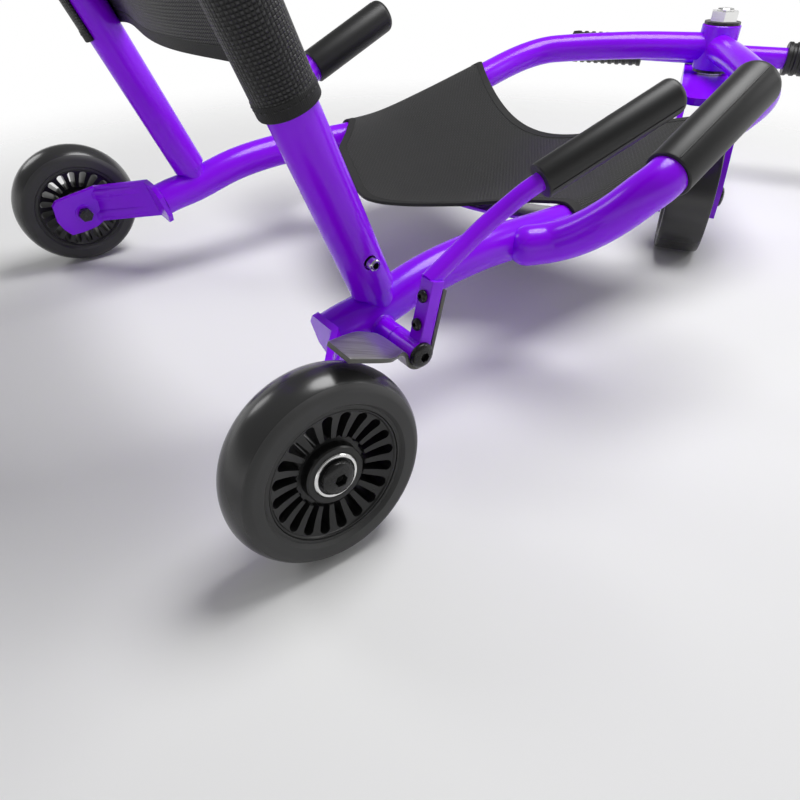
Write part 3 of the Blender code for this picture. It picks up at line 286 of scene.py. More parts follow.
SHOE_WRAP_END_DEGREES = -155.9
SHOE_STEP = 0.002
SHOE_ROWS_ACROSS = 6
SHOE_STATIONS = [(0.086, 0.084, 0.2055, 0.224), (0.072, 0.0985, 0.2105, 0.2375),
                 (0.058, 0.1095, 0.2196, 0.252), (0.043, 0.120, 0.2295, 0.2645),
                 (0.015, 0.133, 0.247, 0.2685)]
LEVER_RADIUS = 0.0062
LEVER_PATH = [(0.2138, 0.1109, 0.1265), (0.2142, 0.1390, 0.1430), (0.2155, 0.1532, 0.1525),
              (0.2180, 0.1664, 0.1612), (0.2255, 0.1870, 0.1764)]
LEVER_GRIP_FOOT = (0.2265, 0.1905, 0.1781)
LEVER_GRIP_DIRECTION = (0.25, 0.88, 0.44)
LEVER_GRIP_LENGTH = 0.104
LEVER_GRIP_CAP = 0.005
LEVER_GRIP = (0.0119, LEVER_RADIUS, LEVER_GRIP_LENGTH, LEVER_GRIP_CAP)

# Front swing
SWING_DEGREES = 32.5
TRAIL = 0.2284
FORK_INNER = 0.0255
FORK_SHEET = 0.006
FORK_HUB_RADIUS = 0.022
FORK_HUB_ARC_DEGREES = (-140, -5)
FORK_HUB_LIP = 0.006
FORK_BACK_LOW = 0.045
FORK_BACK_HIGH = 0.075
FORK_SLOPE_DEGREES = 60.0
FORK_DEPTH = 0.026
FORK_TOE = (0.02, 0.008)
FORK_BEVEL = 0.0009
CROWN_TOP = 0.146
CROWN_SHEET = 0.008
CROWN_REAR = -0.158
CROWN_FRONT = 0.080
CROWN_CORNER = 0.012
CROWN_CORNER_STEPS = 12
CROWN_BEVEL = 0.0008
FOOT_BAR_AHEAD = 0.062
FOOT_BAR_RADIUS = 0.0127
FOOT_BAR_HALF = 0.185
PEG_RADIUS = 0.020
PEG_LENGTH = 0.100
PEG_EDGE = 0.0008
PEG_END = 0.001
PEG_CAP = 0.006
PEG_RIDGES = 9
PEG_WAVE = [(0.0, 0.12), (0.0, 0.52), (0.0016, 0.66), (0.0016, 0.94)]

SIDES = {"right": 1, "left": -1}


def configured(thing, **settings):
    """The same node, modifier or light with some of its properties set."""
    for name, value in settings.items():
        setattr(thing, name, value)
    return thing


# Materials
def feed(owner, node, inputs):
    """Give a node's inputs their values, or link them to other nodes' sockets."""
    for place, value in inputs.items():
        if isinstance(value, bpy.types.NodeSocket):
            owner.node_tree.links.new(value, node.inputs[place])
        else:
            node.inputs[place].default_value = value


def add_node(owner, kind, inputs=None, **settings):
    """The outputs of a new node in a material or world."""
    node = configured(owner.node_tree.nodes.new("ShaderNode" + kind), **settings)
    feed(owner, node, inputs or {})
    return node.outputs


def noise(owner, scale, detail=2.0, stretch=(1, 1, 1)):
    """Noise over the object's own coordinates."""
    place = add_node(owner, "TexCoord")["Object"]
    place = add_node(owner, "Mapping", {"Scale": stretch, "Vector": place})["Vector"]
    return add_node(owner, "TexNoise", {"Scale": scale, "Detail": detail, "Vector": place})["Fac"]


def maths(owner, operation, *values):
    """A maths node on numbers or sockets."""
    return add_node(owner, "Math", dict(enumerate(values)), operation=operation)["Value"]


def cloth_waves(owner, axes, pitch):
    """Sines along a cloth's flat measures, half a wave to the pitch."""
    place = add_node(owner, "SeparateXYZ", {"Vector": add_node(owner, "TexCoord")["UV"]})
    return [maths(owner, "SINE", maths(owner, "MULTIPLY", place[axis], pi / pitch))
            for axis in axes]


def weave(owner):
    """The height of a coarse mesh of warp and weft threads. Its bumps are real; the colour made
    from it paints shade into the hollows between the threads.
    """
    crossing = maths(owner, "MULTIPLY", *cloth_waves(owner, "XY", WEAVE_PITCH))
    over = maths(owner, "MAXIMUM", crossing, 0.0)
    opposite = maths(owner, "MULTIPLY", crossing, -1.0)
    under = maths(owner, "MULTIPLY", maths(owner, "MAXIMUM", opposite, 0.0), WEAVE_UNDER)
    return maths(owner, "POWER", maths(owner, "ADD", over, under), WEAVE_POWER)


def tape_ribs(owner):
    """The height of the fine ribs across a tape."""
    return cloth_waves(owner, "X", TAPE_RIB_PITCH / 2)[0]


def brushing(owner):
    """Fine scratches along a strip."""
    return noise(owner, 60.0, 3.0, (14.0, 0.6, 0.6))


def make_material(name, colour, roughness, specular=0.5, metallic=0.0, tints=(), sheens=(),
                  bumps=()):
    """A Principled material. Tints, sheens and bumps start with the scale of their noise or their
    pattern, before two colours and perhaps the ends of the run between them, two roughnesses, or
    a depth and a strength."""
    colour = (*colour, 1.0)
    material = configured(bpy.data.materials.new(name), use_nodes=True, diffuse_color=colour)
    shader = material.node_tree.nodes["Principled BSDF"]
    feed(material, shader, {"Base Color": colour, "Roughness": roughness,
                            "Specular IOR Level": specular, "Metallic": metallic})
    made = {}

    def factor(pattern):
        if pattern not in made:
            made[pattern] = pattern(material) if callable(pattern) else noise(material, pattern)
        return made[pattern]

    if tints:
        pattern, dark, light, *ends = tints
        colours = add_node(material, "ValToRGB", {"Fac": factor(pattern)})["Color"]
        ramp = colours.node.color_ramp
        for element, tint, place in zip(ramp.elements, (dark, light), ends or (0.35, 0.65)):
            configured(element, position=place, color=(*tint, 1.0))
        feed(material, shader, {"Base Color": colours})
    if sheens:
        pattern, low, high = sheens
        inputs = {"To Min": low, "To Max": high, "Value": factor(pattern)}
        feed(material, shader, {"Roughness": add_node(material, "MapRange", inputs)["Result"]})
    if bumps:
        pattern, distance, strength = bumps
        inputs = {"Distance": distance, "Strength": strength, "Height": factor(pattern)}
        feed(material, shader, {"Normal": add_node(material, "Bump", inputs)["Normal"]})
    return material


def grey(value):
    """A neutral colour."""
    return (value, value, value)


FINISHES = {
    "purple_paint": dict(
        colour=(0.250, 0.002, 0.86), roughness=0.20, specular=0.34,
        tints=(9.0, (0.235, 0.0015, 0.82), (0.262, 0.003, 0.89)), bumps=(260.0, 0.00005, 0.3)),
    "tyre_grey": dict(
        colour=grey(0.040), roughness=0.50, specular=0.35,
        tints=(30.0, grey(0.038), grey(0.043)), bumps=(900.0, 0.00005, 0.25)),
    "tyre_tread": dict(colour=grey(0.030), roughness=0.22, sheens=(45.0, 0.19, 0.27)),
    "black_plastic": dict(
        colour=grey(0.009), roughness=0.30, specular=0.4,
        sheens=(60.0, 0.24, 0.38), bumps=(1400.0, 0.00003, 0.2)),
    "black_rubber": dict(
        colour=grey(0.012), roughness=0.42, specular=0.4,
        sheens=(25.0, 0.36, 0.50), bumps=(1600.0, 0.00004, 0.35)),
    # The weave's colour runs from near black in the hollows between the threads to dark grey on
    # their crowns: painted shade in the hollows.
    "black_weave": dict(
        colour=grey(0.012), roughness=0.45, specular=0.35,
        tints=(weave, grey(0.0015), (0.040, 0.040, 0.041), 0.30, 0.95), bumps=(weave, 0.0007, 1.0)),
    "black_binding": dict(
        colour=grey(0.007), roughness=0.60, specular=0.35, bumps=(tape_ribs, 0.00012, 0.6)),
    "black_bolt": dict(
        colour=grey(0.020), roughness=0.26, metallic=0.4, sheens=(300.0, 0.20, 0.34)),
    "bright_steel": dict(
        colour=(0.78, 0.78, 0.77), roughness=0.18, metallic=1.0, sheens=(400.0, 0.14, 0.26)),
    "grey_steel": dict(
        colour=(0.32, 0.31, 0.31), roughness=0.36, metallic=1.0,
        tints=(brushing, (0.23, 0.22, 0.22), (0.42, 0.41, 0.41), 0.3, 0.7),
        bumps=(brushing, 0.00008, 0.5)),
    "strip_edge": dict(
        colour=(0.10, 0.10, 0.09), roughness=0.45, metallic=0.7, sheens=(500.0, 0.38, 0.52)),
    "bearing_shield": dict(
        colour=(0.045, 0.045, 0.048), roughness=0.35, metallic=0.6, sheens=(200.0, 0.30, 0.42)),
    "floor_white": dict(
        colour=grey(0.82), roughness=0.60, specular=0.2, tints=(3.0, grey(0.815), grey(0.825))),
}


# Objects and meshes
def new_object(name, data):
    """An object in the scene."""
    made = bpy.data.objects.new(name, data)
    bpy.context.scene.collection.objects.link(made)
    return made


def evaluated_mesh(obj):
    """A mesh of an object as its modifiers leave it."""
    seen = obj.evaluated_get(bpy.context.evaluated_depsgraph_get())
    return bpy.data.meshes.new_from_object(seen)


def meshed(bm):
    """A smooth-shaded mesh from a bmesh."""
    mesh = bpy.data.meshes.new("mesh")
    bm.to_mesh(mesh)
    bm.free()
    mesh.shade_smooth()
    return mesh


def solid(bm, sharp_degrees=SHARP_DEGREES):
    """A mesh whose faces point out, with sharp edges where they turn steeply."""
    bmesh.ops.recalc_face_normals(bm, faces=bm.faces)
    mesh = meshed(bm)
    mesh.set_sharp_from_angle(angle=radians(sharp_degrees))
    return mesh


def skin(bm, rings, steps):
    """Faces between each ring of vertices and the next. A ring may be one vertex."""
    for first, second in zip(rings, rings[1:]):
        for i in range(steps):
            corners = dict.fromkeys((first[i % len(first)], first[(i + 1) % len(first)],
                                     second[(i + 1) % len(second)], second[i % len(second)]))
            if len(corners) > 2:
                bm.faces.new(list(corners))


def lathe(section, steps=ROUND, second=None):
    """A solid turned about X. A test on (radius, place) picks the second material's faces."""
    bm = bmesh.new()
    rings = []
    for radius, offset in section:
        angles = [tau * i / steps for i in range(steps if radius else 1)]
        rings.append([bm.verts.new((offset, radius * cos(angle), radius * sin(angle)))
                      for angle in angles])
    skin(bm, rings + rings[:1], steps)
    for face in bm.faces if second else ():
        x, y, z = face.calc_center_median()
        face.material_index = int(second(hypot(y, z), x))
    return solid(bm)


def sweep(path, radius, sides=TUBE_SIDES, scales=None):
    """A round bar along a path, with flat ends. Its radius may be scaled at each point."""
    bm = bmesh.new()
    points = [Vector(point) for point in path]
    tangents = [(after - before).normalized()
                for before, after in zip(points[:1] + points, points[1:] + points[-1:])]
    side = tangents[0].orthogonal().normalized()
    rings = []
    for point, tangent, scale in zip(points, tangents, scales or [1.0] * len(points)):
        side = (side - tangent * side.dot(tangent)).normalized()
        other = tangent.cross(side)
        ring = []
        for i in range(sides):
            angle = tau * i / sides
            offset = side * cos(angle) + other * sin(angle)
            ring.append(bm.verts.new(point + offset * radius * scale))
        rings.append(ring)
    skin(bm, rings, sides)
    bm.faces.new(rings[0])
    bm.faces.new(rings[-1][::-1])
    return solid(bm)


def plate(outlines, thickness):
    """A flat plate in the XY plane; an inner outline is a hole."""
    curve = configured(bpy.data.curves.new("plate", "CURVE"), dimensions="2D", fill_mode="BOTH",
                       extrude=thickness / 2)
    for outline in outlines:
        spline = curve.splines.new("POLY")
        spline.points.add(len(outline) - 1)
        spline.use_cyclic_u = True
        for point, (x, y) in zip(spline.points, outline):
            point.co = (x, y, 0.0, 1.0)
    shape = new_object("plate", curve)
    flat = evaluated_mesh(shape)
    bpy.data.objects.remove(shape)
    bm = bmesh.new()
    bm.from_mesh(flat)
    bpy.data.meshes.remove(flat)
    bmesh.ops.remove_doubles(bm, verts=bm.verts, dist=MERGE_DISTANCE)
    return solid(bm)


def grid(rows, lengths=None):
    """An open sheet through rows of points, with its flat measures as its UV map."""
    bm = bmesh.new()
    layer = bm.loops.layers.uv.new("UVMap")
    corners = [[bm.verts.new(point) for point in row] for row in rows]
    for i in range(len(rows) - 1):
        for j in range(len(rows[0]) - 1):
            places = ((i, j), (i, j + 1), (i + 1, j + 1), (i + 1, j))
            face = bm.faces.new([corners[a][b] for a, b in places])
            if lengths:
                for loop, (a, b) in zip(face.loops, places):
                    loop[layer].uv = lengths[a][b]
    return meshed(bm)


def bevelled(piece, width, segments=3, degrees=50):
    """Round the sharp edges of a piece."""
    configured(piece.modifiers.new("edges", "BEVEL"), width=width, segments=segments,
               limit_method="ANGLE", angle_limit=radians(degrees))
    return piece


def thickened(piece, thickness, rim=0, even=True):
    """Give a sheet its thickness, half on each side. Its rim may have the second material."""
    configured(piece.modifiers.new("thickness", "SOLIDIFY"), thickness=thickness, offset=0.0,
               use_even_offset=even, material_offset_rim=rim)
    return piece


def cut(piece, mesh, matrix, inside=None):
    """Cut a solid out of a piece. The walls of the cut may have another material, a dark one as
    painted shade inside the cut.
    """
    cutter = new_object("cutter", mesh)
    cutter.matrix_world = Matrix.Translation(WORK) @ matrix
    if inside:
        mesh.materials.append(MATERIALS[inside])
    bpy.context.view_layer.update()
    configured(piece.modifiers.new("cut", "BOOLEAN"), solver="EXACT", object=cutter,
               material_mode="TRANSFER" if inside else "INDEX")
    result = evaluated_mesh(piece)
    piece.modifiers.clear()
    piece.data = result
    bpy.data.objects.remove(cutter)
    result.shade_smooth()
    result.set_sharp_from_angle(angle=radians(SHARP_DEGREES))


def put(name, mesh, node=None, material="purple_paint", body="frame", matrix=None, second=None):
    """A piece of the scooter that rides on a body and may stand for a node."""
    mesh.name = name
    piece = new_object(name, mesh)
    for finish in filter(None, (material, second)):
        mesh.materials.append(MATERIALS[finish])
    mesh.transform(Matrix.Translation(WORK) @ (matrix or Matrix()))
    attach(piece, body)
    if node:
        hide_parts(node)
    return piece


# Lines
def shares(steps):
    """Even steps from 0 to 1."""
    return [i / steps for i in range(steps + 1)]


def arc(centre, radius, start_degrees, end_degrees, steps):
    """Points of an arc in a plane."""
    angles = [radians(start_degrees + (end_degrees - start_degrees) * share)
              for share in shares(steps)]
    return [(centre[0] + radius * cos(angle), centre[1] + radius * sin(angle)) for angle in angles]


def hexagon(flats):
    """The corners of a hexagon from its width across the flats."""
    return arc((0, 0), flats / sqrt(3), 30, 330, 5)


def smooth(points, step, first=None, last=None):
    """A smooth path through the points, which may leave and arrive in given directions."""
    knots = [Vector(point) for point in points]
    directions = [(after - before).normalized()
                  for before, after in zip(knots[:1] + knots, knots[1:] + knots[-1:])]
    if first:
        directions[0] = Vector(first).normalized()
    if last:
        directions[-1] = Vector(last).normalized()
    path = [knots[0]]
    for start, end, leaving, arriving in zip(knots, knots[1:], directions, directions[1:]):
        reach = (end - start).length
        pieces = max(1, round(reach / step))
        path += interpolate_bezier(start, start + leaving * reach / 3, end - arriving * reach / 3,
                                   end, pieces + 1)[1:]
    return path


def mirrored(side, point):
    """A point of the right side, on the given side."""
    return Vector((SIDES[side] * point[0], point[1], point[2]))


def slanted(degrees):
    """Unit vectors forward and up, both tilted back by an angle."""
    angle = radians(degrees)
    return (Vector((0, cos(angle), sin(angle))), Vector((0, -sin(angle), cos(angle))))


def turned(degrees, axis):
    """The matrix that turns a piece about an axis."""
    return Matrix.Rotation(radians(degrees), 4, axis)


def along_x(place, direction):
    """The matrix that puts a piece's X axis along a direction, from a place."""
    turn = Vector(direction).to_track_quat("X", "Z").to_matrix().to_4x4()
    return Matrix.Translation(place) @ turn


def square_to_x(x=0.0):
    """The matrix that lays a plate square to the X axis, at a place along it."""
    return Matrix.Translation((x, 0, 0)) @ turned(90, "Y")


def between_knots(knots, place_on_line):
    """The value of a line through (place, value) knots, straight between them."""
    for (start, low), (end, high) in zip(knots, knots[1:]):
        if place_on_line <= end:
            return low + (high - low) * (place_on_line - start) / (end - start)
    return knots[-1][1]


def clamped(value):
    """A value kept between 0 and 1."""
    return min(1.0, max(0.0, value))


# Places that several pieces share
def frame_path():
    """The centre line of the right frame tube."""
    straight = slanted(FRAME_REAR_TILT_DEGREES)[0]
    rearmost = Vector((FRAME_HALF_WIDTH, *FRAME_REAR))
    side = [(FRAME_HALF_WIDTH, y, z) for y, z in FRAME_SIDE]
    head = (HEAD_RADIUS / 2, PIVOT_Y - HEAD_RADIUS / 2, HEAD_HEIGHT)
    bend = [rearmost + straight * FRAME_REAR_RUN] + side + NOSE_BEND + [head]
    return [rearmost] + smooth(bend, PATH_STEP, first=straight)


def hoop_point(up, x=HOOP_HALF_WIDTH):
    """A point in the hoop's own plane, up its leg and across."""
    return Vector(HOOP_FOOT) + slanted(HOOP_LEAN_DEGREES)[1] * up + Vector((x, 0, 0))


def bracket_point(x, forward, up):
    """A point in the leaning frame of the brake bracket, from its pivot."""
    ahead, upright = slanted(-BRACKET_LEAN_DEGREES)
    return Vector(BRAKE_PIVOT) + ahead * forward + upright * up + Vector((x, 0, 0))


# Turned pieces
def both_ways(half):
    """Half a section and its mirror image."""
    return half + [(radius, -place) for radius, place in reversed(half)]


def pin_section(radius, start, end, edge, start_edge=0.0):
    """The section of a plain pin with an edge taken off its end, and perhaps its start."""
    onward = copysign(1, end - start)
    points = [(0, start), (radius - start_edge, start)]
    if start_edge:
        points.append((radius, start + onward * start_edge))
    return points + [(radius, end - onward * edge), (radius - edge, end), (0, end)]


def socket_bolt(name, node, section, socket, body, matrix, material="black_bolt", inside=None):
    """A turned bolt with a hexagon socket in its top, given by its flats and depth. The socket's
    walls may take a darker material as painted shade.
    """
    flats, depth = socket
    bolt = put(name, lathe(section, SMALL_ROUND), node, material, body, matrix)
    cut(bolt, plate([hexagon(flats)], 2 * depth), matrix @ square_to_x(section[0][1]), inside)
    return bolt


def domed_bolt(name, node, sizes, base, end, socket, body, matrix):
    """A domed bolt, from its head's radius and height, its shank's radius and its two ends."""
    head_radius, head_height, shank_radius = sizes
    dome = [(head_radius * across, base + head_height * (1 - DOME_SHARE + DOME_SHARE * height))
            for across, height in arc((0, 0), 1.0, *DOME_ARC)]
    section = [(0, base + head_height)] + dome + [
        (head_radius, base + head_height * DOME_FOOT), (head_radius, base + SMALL_EDGE),
        (head_radius - SMALL_EDGE, base), (shank_radius, base), (shank_radius, end + SHANK_EDGE),
        (shank_radius - SHANK_EDGE, end), (0, end)]
    bevelled(socket_bolt(name, node, section, socket, body, matrix), BOLT_BEVEL, 2)


# Wheels
def tyre_section(width, crown, power, rim_width):
    """The section of a tyre, with its side eased into the lip round the rim."""
    half = width / 2
    lip = half - TYRE_LIP_INSET
    seat = min(rim_width / 2 + TYRE_SEAT_PROUD, lip)
    tread = []
    for angle in (pi * share for share in shares(TREAD_STEPS)):
        across = copysign(abs(cos(angle)) ** (2 / power), cos(angle))
        rise = abs(sin(angle)) ** (2 / power)
        tread.append((WHEEL_RADIUS - crown + crown * rise, half * across))
    inner = [(TYRE_LIP_RADIUS + out, back - half) for out, back in TYRE_LIP_EDGES]
    inner += [(TYRE_LIP_RADIUS, -lip), (RIM_RADIUS, -seat - TYRE_SEAT_EASE)]
    return tread + both_ways(inner)


def core_section(rim_width):
    """The section of a wheel core: rim, dished blades, hub and the seats of the bearings."""
    rim = rim_width / 2
    inside = RIM_RADIUS - RIM_THICKNESS
    hub = BEARING_FACE - RIM_EDGE
    shoulder = BEARING_FACE - BEARING_WIDTH
    inner = [(RIM_RADIUS, RIM_EDGE - rim), (RIM_RADIUS - RIM_EDGE, -rim), (inside + RIM_EDGE, -rim),
             (inside, RIM_EDGE - rim)]
    inner += [(radius, -offset) for radius, offset in BLADE_FACE]
    inner += [(BLADE_FACE[-1][0], -GROOVE_HALF), (HUB_RADIUS + SMALL_EDGE, -GROOVE_HALF),
              (HUB_RADIUS, -GROOVE_HALF - RIM_EDGE), (HUB_RADIUS, HUB_EDGE - hub),
              (HUB_RADIUS - HUB_EDGE, -hub), (BEARING_RADIUS + RIM_EDGE, -hub),
              (BEARING_RADIUS, RIM_EDGE - hub), (BEARING_RADIUS, -shoulder),
              (BEARING_RADIUS - BEARING_SHOULDER, -shoulder)]
    return both_ways(inner)


def slot_outline(index):
    """One slot with round ends, between two blades."""
    pitch = 360 / SPOKE_COUNT
    inner = HUB_RADIUS + SLOT_HUB_GAP
    outer = RIM_RADIUS - RIM_THICKNESS - SLOT_RIM_GAP
    edges = {1: [], -1: []}
    for share in shares(SLOT_STEPS):
        radius = inner + (outer - inner) * share
        into_end = max(0.0, (share - 1 + SLOT_OUTER_END) / SLOT_OUTER_END,
                       (SLOT_INNER_END - share) / SLOT_INNER_END)
        width = max(SLOT_LEAST_SHARE, sqrt(max(0.0, 1 - into_end ** 2)))
        half = pitch * (1 - SPOKE_SHARE) / 2 * width
        for side, edge in edges.items():
            angle = radians(pitch * index + side * half)
            edge.append((radius * cos(angle), radius * sin(angle)))
    return edges[1] + edges[-1][::-1]


def dress_bearing(node, body, matrix, sign):
    """A bearing with bright races and a dark shield between them."""
    face = BEARING_FACE
    back = BEARING_FACE - BEARING_WIDTH
    bore = AXLE_RADIUS + GAP
    inner_race = AXLE_RADIUS + INNER_RACE
    outer_race = BEARING_RADIUS - OUTER_RACE
    section = [(BEARING_RADIUS, face - RACE_EDGE), (BEARING_RADIUS, back), (bore, back),
               (bore, face - GAP), (inner_race, face),
               (inner_race + SHIELD_INNER[0], face - SHIELD_INNER[1]),
               (outer_race - SHIELD_OUTER[0], face - SHIELD_OUTER[1]), (outer_race, face),
               (BEARING_RADIUS - RACE_EDGE, face)]

    def on_shield(radius, offset):
        return inner_race < radius < outer_race and abs(offset) > face - SHIELD_DEPTH

    mesh = lathe([(radius, sign * offset) for radius, offset in section], SMALL_ROUND, on_shield)
    put(node + "_races", mesh, node, "bright_steel", body, matrix, "bearing_shield")


def dress_wheel(name, body, carrier, matrix, sizes, bolt_base, nut_base):
    """A wheel's tyre, core and bearings, and the bolt and nut that hold it on its carrier."""
    tyre_width, crown, power, rim_width = sizes
    tyre = lathe(tyre_section(tyre_width, crown, power, rim_width),
                 second=lambda radius, _: radius > WHEEL_RADIUS - crown * TREAD_BAND)
    put(name + "_cast_tyre", tyre, name + "_tyre", "tyre_grey", body, matrix, "tyre_tread")
    core = put(name + "_bladed_core", lathe(core_section(rim_width)), name + "_core",
               "black_plastic", body, matrix)
    slots = plate([slot_outline(i) for i in range(SPOKE_COUNT)], SLOT_DEPTH)
    cut(core, slots, matrix @ square_to_x())
    bevelled(core, CORE_BEVEL, 2)
    for place, sign in (("outer", 1), ("inner", -1)):
        dress_bearing(f"{name}_bearing_{place}", body, matrix, sign)

    domed_bolt(name + "_domed_bolt", name + "_axle_bolt", (*BOLT_HEAD, AXLE_RADIUS), bolt_base,
               nut_base - AXLE_END, BOLT_SOCKET, carrier, matrix)
    seat_face = nut_base - NUT_SEAT_HEIGHT
    seat = pin_section(NUT_SEAT_RADIUS, nut_base, seat_face, SMALL_EDGE)
    put(name + "_nut_seat", lathe(seat, SMALL_ROUND), body=carrier, matrix=matrix)
    nut = put(name + "_hex_nut", plate([hexagon(NUT_FLATS)], NUT_HEIGHT), name + "_axle_nut",
              "black_bolt", carrier, matrix @ square_to_x(seat_face - NUT_HEIGHT / 2))
    bevelled(nut, NUT_BEVEL, 2, 40)


def dress_wheels():
    """All three wheels and the bolts that they turn on."""
    lean = turned(-REAR_CAMBER_DEGREES, "Y")
    for side, sign in SIDES.items():
        turn = turned(0 if sign > 0 else 180, "Z")
        matrix = Matrix.Translation((sign * REAR_TRACK / 2, 0, AXLE_HEIGHT)) @ turn @ lean
        dress_wheel(f"wheel_{side}", f"wheel_{side}", "frame", matrix, REAR_WHEEL,
                    BEARING_FACE + GAP, -(ARM_OFFSET + ARM_THICKNESS / 2))
    fork_outside = FORK_INNER + FORK_SHEET + GAP
    dress_wheel("wheel_front", "front_wheel", "front_swing",
                SWING @ Matrix.Translation((0, -TRAIL, WHEEL_RADIUS)), FRONT_WHEEL, fork_outside,
                -fork_outside)


# Rear arms
def arm_pairs():
    """The top and bottom points of the right rear arm's middle surface, from its inner end."""
    along_tube, tube_up = slanted(FRAME_REAR_TILT_DEGREES)
    camber = radians(REAR_CAMBER_DEGREES)
    inner = Vector((0, *FRAME_REAR)) - (GAP + ARM_THICKNESS / 2) * along_tube
    axis = Vector((cos(camber), 0, sin(camber)))
    wheel_up = Vector((-sin(camber), 0, cos(camber)))
    hub = Vector((REAR_TRACK / 2, 0, AXLE_HEIGHT)) - ARM_OFFSET * axis
    middle = (ARM_TOP + ARM_BOTTOM) / 2
    bulge = ARM_BULGE_HEIGHT / 2
    ends = [(ARM_INNER_X - ARM_BULGE, middle + bulge, middle - bulge),
            (ARM_INNER_X, ARM_TOP, ARM_BOTTOM), (ARM_BEND_X, ARM_TOP, ARM_BOTTOM)]
    return [(origin + run * place + up * top, origin + run * place + up * bottom)
            for origin, run, up, outline in ((inner, Vector((1, 0, 0)), tube_up, ends),
                                             (hub, Vector((0, 1, 0)), wheel_up, ARM_HUB_OUTLINE))
            for place, top, bottom in outline]


def arm_relief(along, across):
    """How far the pressed ribs and the pad stand out of the arm, along and across its face."""
    start = clamped((along - RIB_START[0]) / RIB_START[1])
    end = clamped((RIB_END[0] - along) / RIB_END[1])
    height = sum(RIB_HEIGHT * clamped((1 - abs(across - place) / RIB_WIDTH) * RIB_STEEPNESS)
                 for place in RIB_PLACES) * start * end
    on_pad = PAD_ALONG[0] < along < PAD_ALONG[1] and PAD_ACROSS[0] < across < PAD_ACROSS[1]
    return height + (PAD_HEIGHT if on_pad else 0.0)


def arm_rows():
    """The arm's middle surface, fine enough for its ribs."""
    pairs = arm_pairs()
    rows = []
    for index, (start, end) in enumerate(zip(pairs, pairs[1:])):
        pieces = RIBBED_ROWS if index == RIBBED_STRETCH else ARM_ROWS
        for share in shares(pieces)[:-1]:
            rows.append((index + share, start[0].lerp(end[0], share), start[1].lerp(end[1], share)))
    rows.append((len(pairs) - 1.0, *pairs[-1]))
    surface = []
    for (_, behind, _), (along, top, bottom), (_, ahead, _) in zip(rows[:1] + rows, rows,
                                                                   rows[1:] + rows[-1:]):
        normal = (ahead - behind).cross(bottom - top).normalized()
        surface.append([top.lerp(bottom, across) - normal * arm_relief(along, across)
                        for across in shares(ARM_ROWS_ACROSS)])
    return surface


def dress_rear_arms():
    """The pressed plates that carry the rear wheels."""
    for side in SIDES:
        rows = [[mirrored(side, point) for point in row] for row in arm_rows()]
        arm = put(f"pressed_arm_{side}", grid(rows), f"rear_arm_{side}")
        bevelled(thickened(arm, ARM_THICKNESS, even=False), ARM_BEVEL, degrees=60)


# Frame
def dress_frame():
    """The side tubes and the head tube."""
    for side in SIDES:
        path = [mirrored(side, point) for point in FRAME_LINE]
        put(f"side_tube_{side}", sweep(path, TUBE_RADIUS), f"frame_tube_{side}")
    half = HEAD_LENGTH / 2
    ends = [(HEAD_BORE, HEAD_EDGE - half), (HEAD_BORE + HEAD_EDGE, -half),
            (HEAD_RADIUS - HEAD_EDGE, -half), (HEAD_RADIUS, HEAD_EDGE - half)]
    upright = Matrix.Translation((0, PIVOT_Y, HEAD_HEIGHT)) @ turned(-90, "Y")
    put("steering_head", lathe(both_ways(ends)), "head_tube", matrix=upright)


# Backrest
def dress_hoop():
    """The backrest hoop on its stubs, with the screws that hold it."""
    corner = (HOOP_HALF_WIDTH - HOOP_CORNER, HOOP_LENGTH - HOOP_CORNER)
    half = [(HOOP_HALF_WIDTH, 0.0)] + arc(corner, HOOP_CORNER, 0, 90, HOOP_CORNER_STEPS)
    path = [hoop_point(up, x) for x, up in half] + [hoop_point(up, -x) for x, up in half[::-1]]
    hoop = put("bent_hoop", sweep(path, TUBE_RADIUS), "backrest_hoop")
    near, far = SCREW_HOLE_ENDS
    section = pin_section(SCREW_HEAD, SCREW_FOOT, TUBE_RADIUS + SCREW_PROUD, SCREW_EDGE)[::-1]
    for side, sign in SIDES.items():
        outward = along_x(mirrored(side, hoop_point(SCREW_UP)), (sign, 0, 0))
        # The hole's walls and floor are black plastic: painted shade inside the hole in the tube.
        hole = lathe([(0, near), (SCREW_HOLE, near), (SCREW_HOLE, far), (0, far)], SMALL_ROUND)
        cut(hoop, hole, outward, "black_plastic")
        stub = [mirrored(side, hoop_point(up)) for up in STUB_ENDS]
        put(f"hoop_stub_{side}", sweep(stub, STUB_RADIUS), f"backrest_stub_{side}")
        # The socket in the bright screw's head is lined with the black bolt finish: painted shade
        # in the socket.
        socket_bolt(f"hoop_pin_{side}", f"hoop_screw_{side}", section, SCREW_SOCKET, "frame",
                    outward, "bright_steel", "black_bolt")
    bevelled(hoop, HOOP_BEVEL, 2, 60)


# Slings
def sling_section(half_width, sag):
    """(place across, height, length along the cloth) from one wrapped end to the other."""
    radius = TUBE_RADIUS + SLING_EASE + SLING_THICKNESS / 2
    wrap = radians(WRAP_END_DEGREES)
    section = []
    for share in shares(WRAP_STEPS)[:-1]:
        angle = wrap * (1 - share)
        section.append((half_width + radius * sin(angle), radius * cos(angle)))
    for x in (half_width * (1 - share) for share in shares(SAG_STEPS)):
        section.append((x, radius - sag * (1 + cos(pi * x / half_width)) / 2))
    section += [(-x, height) for x, height in section[-2::-1]]
    lengths = accumulate(map(dist, section, section[1:]), initial=0.0)
    return [(x, height, length) for (x, height), length in zip(section, lengths)]


def dress_stitches(name, line, normals):
    """A row of short stitches along a line of points."""
    bm = bmesh.new()
    spent = 0.0
    for start, end, normal in zip(line, line[1:], normals):
        reach = (end - start).length
        spent += reach
        if spent < STITCH_PITCH or reach < 1e-6:
            continue
        spent -= STITCH_PITCH
        run = (end - start).normalized()
        turn = Matrix((run, normal.cross(run), normal)).transposed().to_4x4()
        place = Matrix.Translation(end + normal * STITCH_PROUD)
        bmesh.ops.create_uvsphere(bm, u_segments=8, v_segments=6, radius=1.0,
                                  matrix=place @ turn @ Matrix.Diagonal((*STITCH_SIZE, 1.0)))
    return put(name, solid(bm, 80), material="black_rubber")


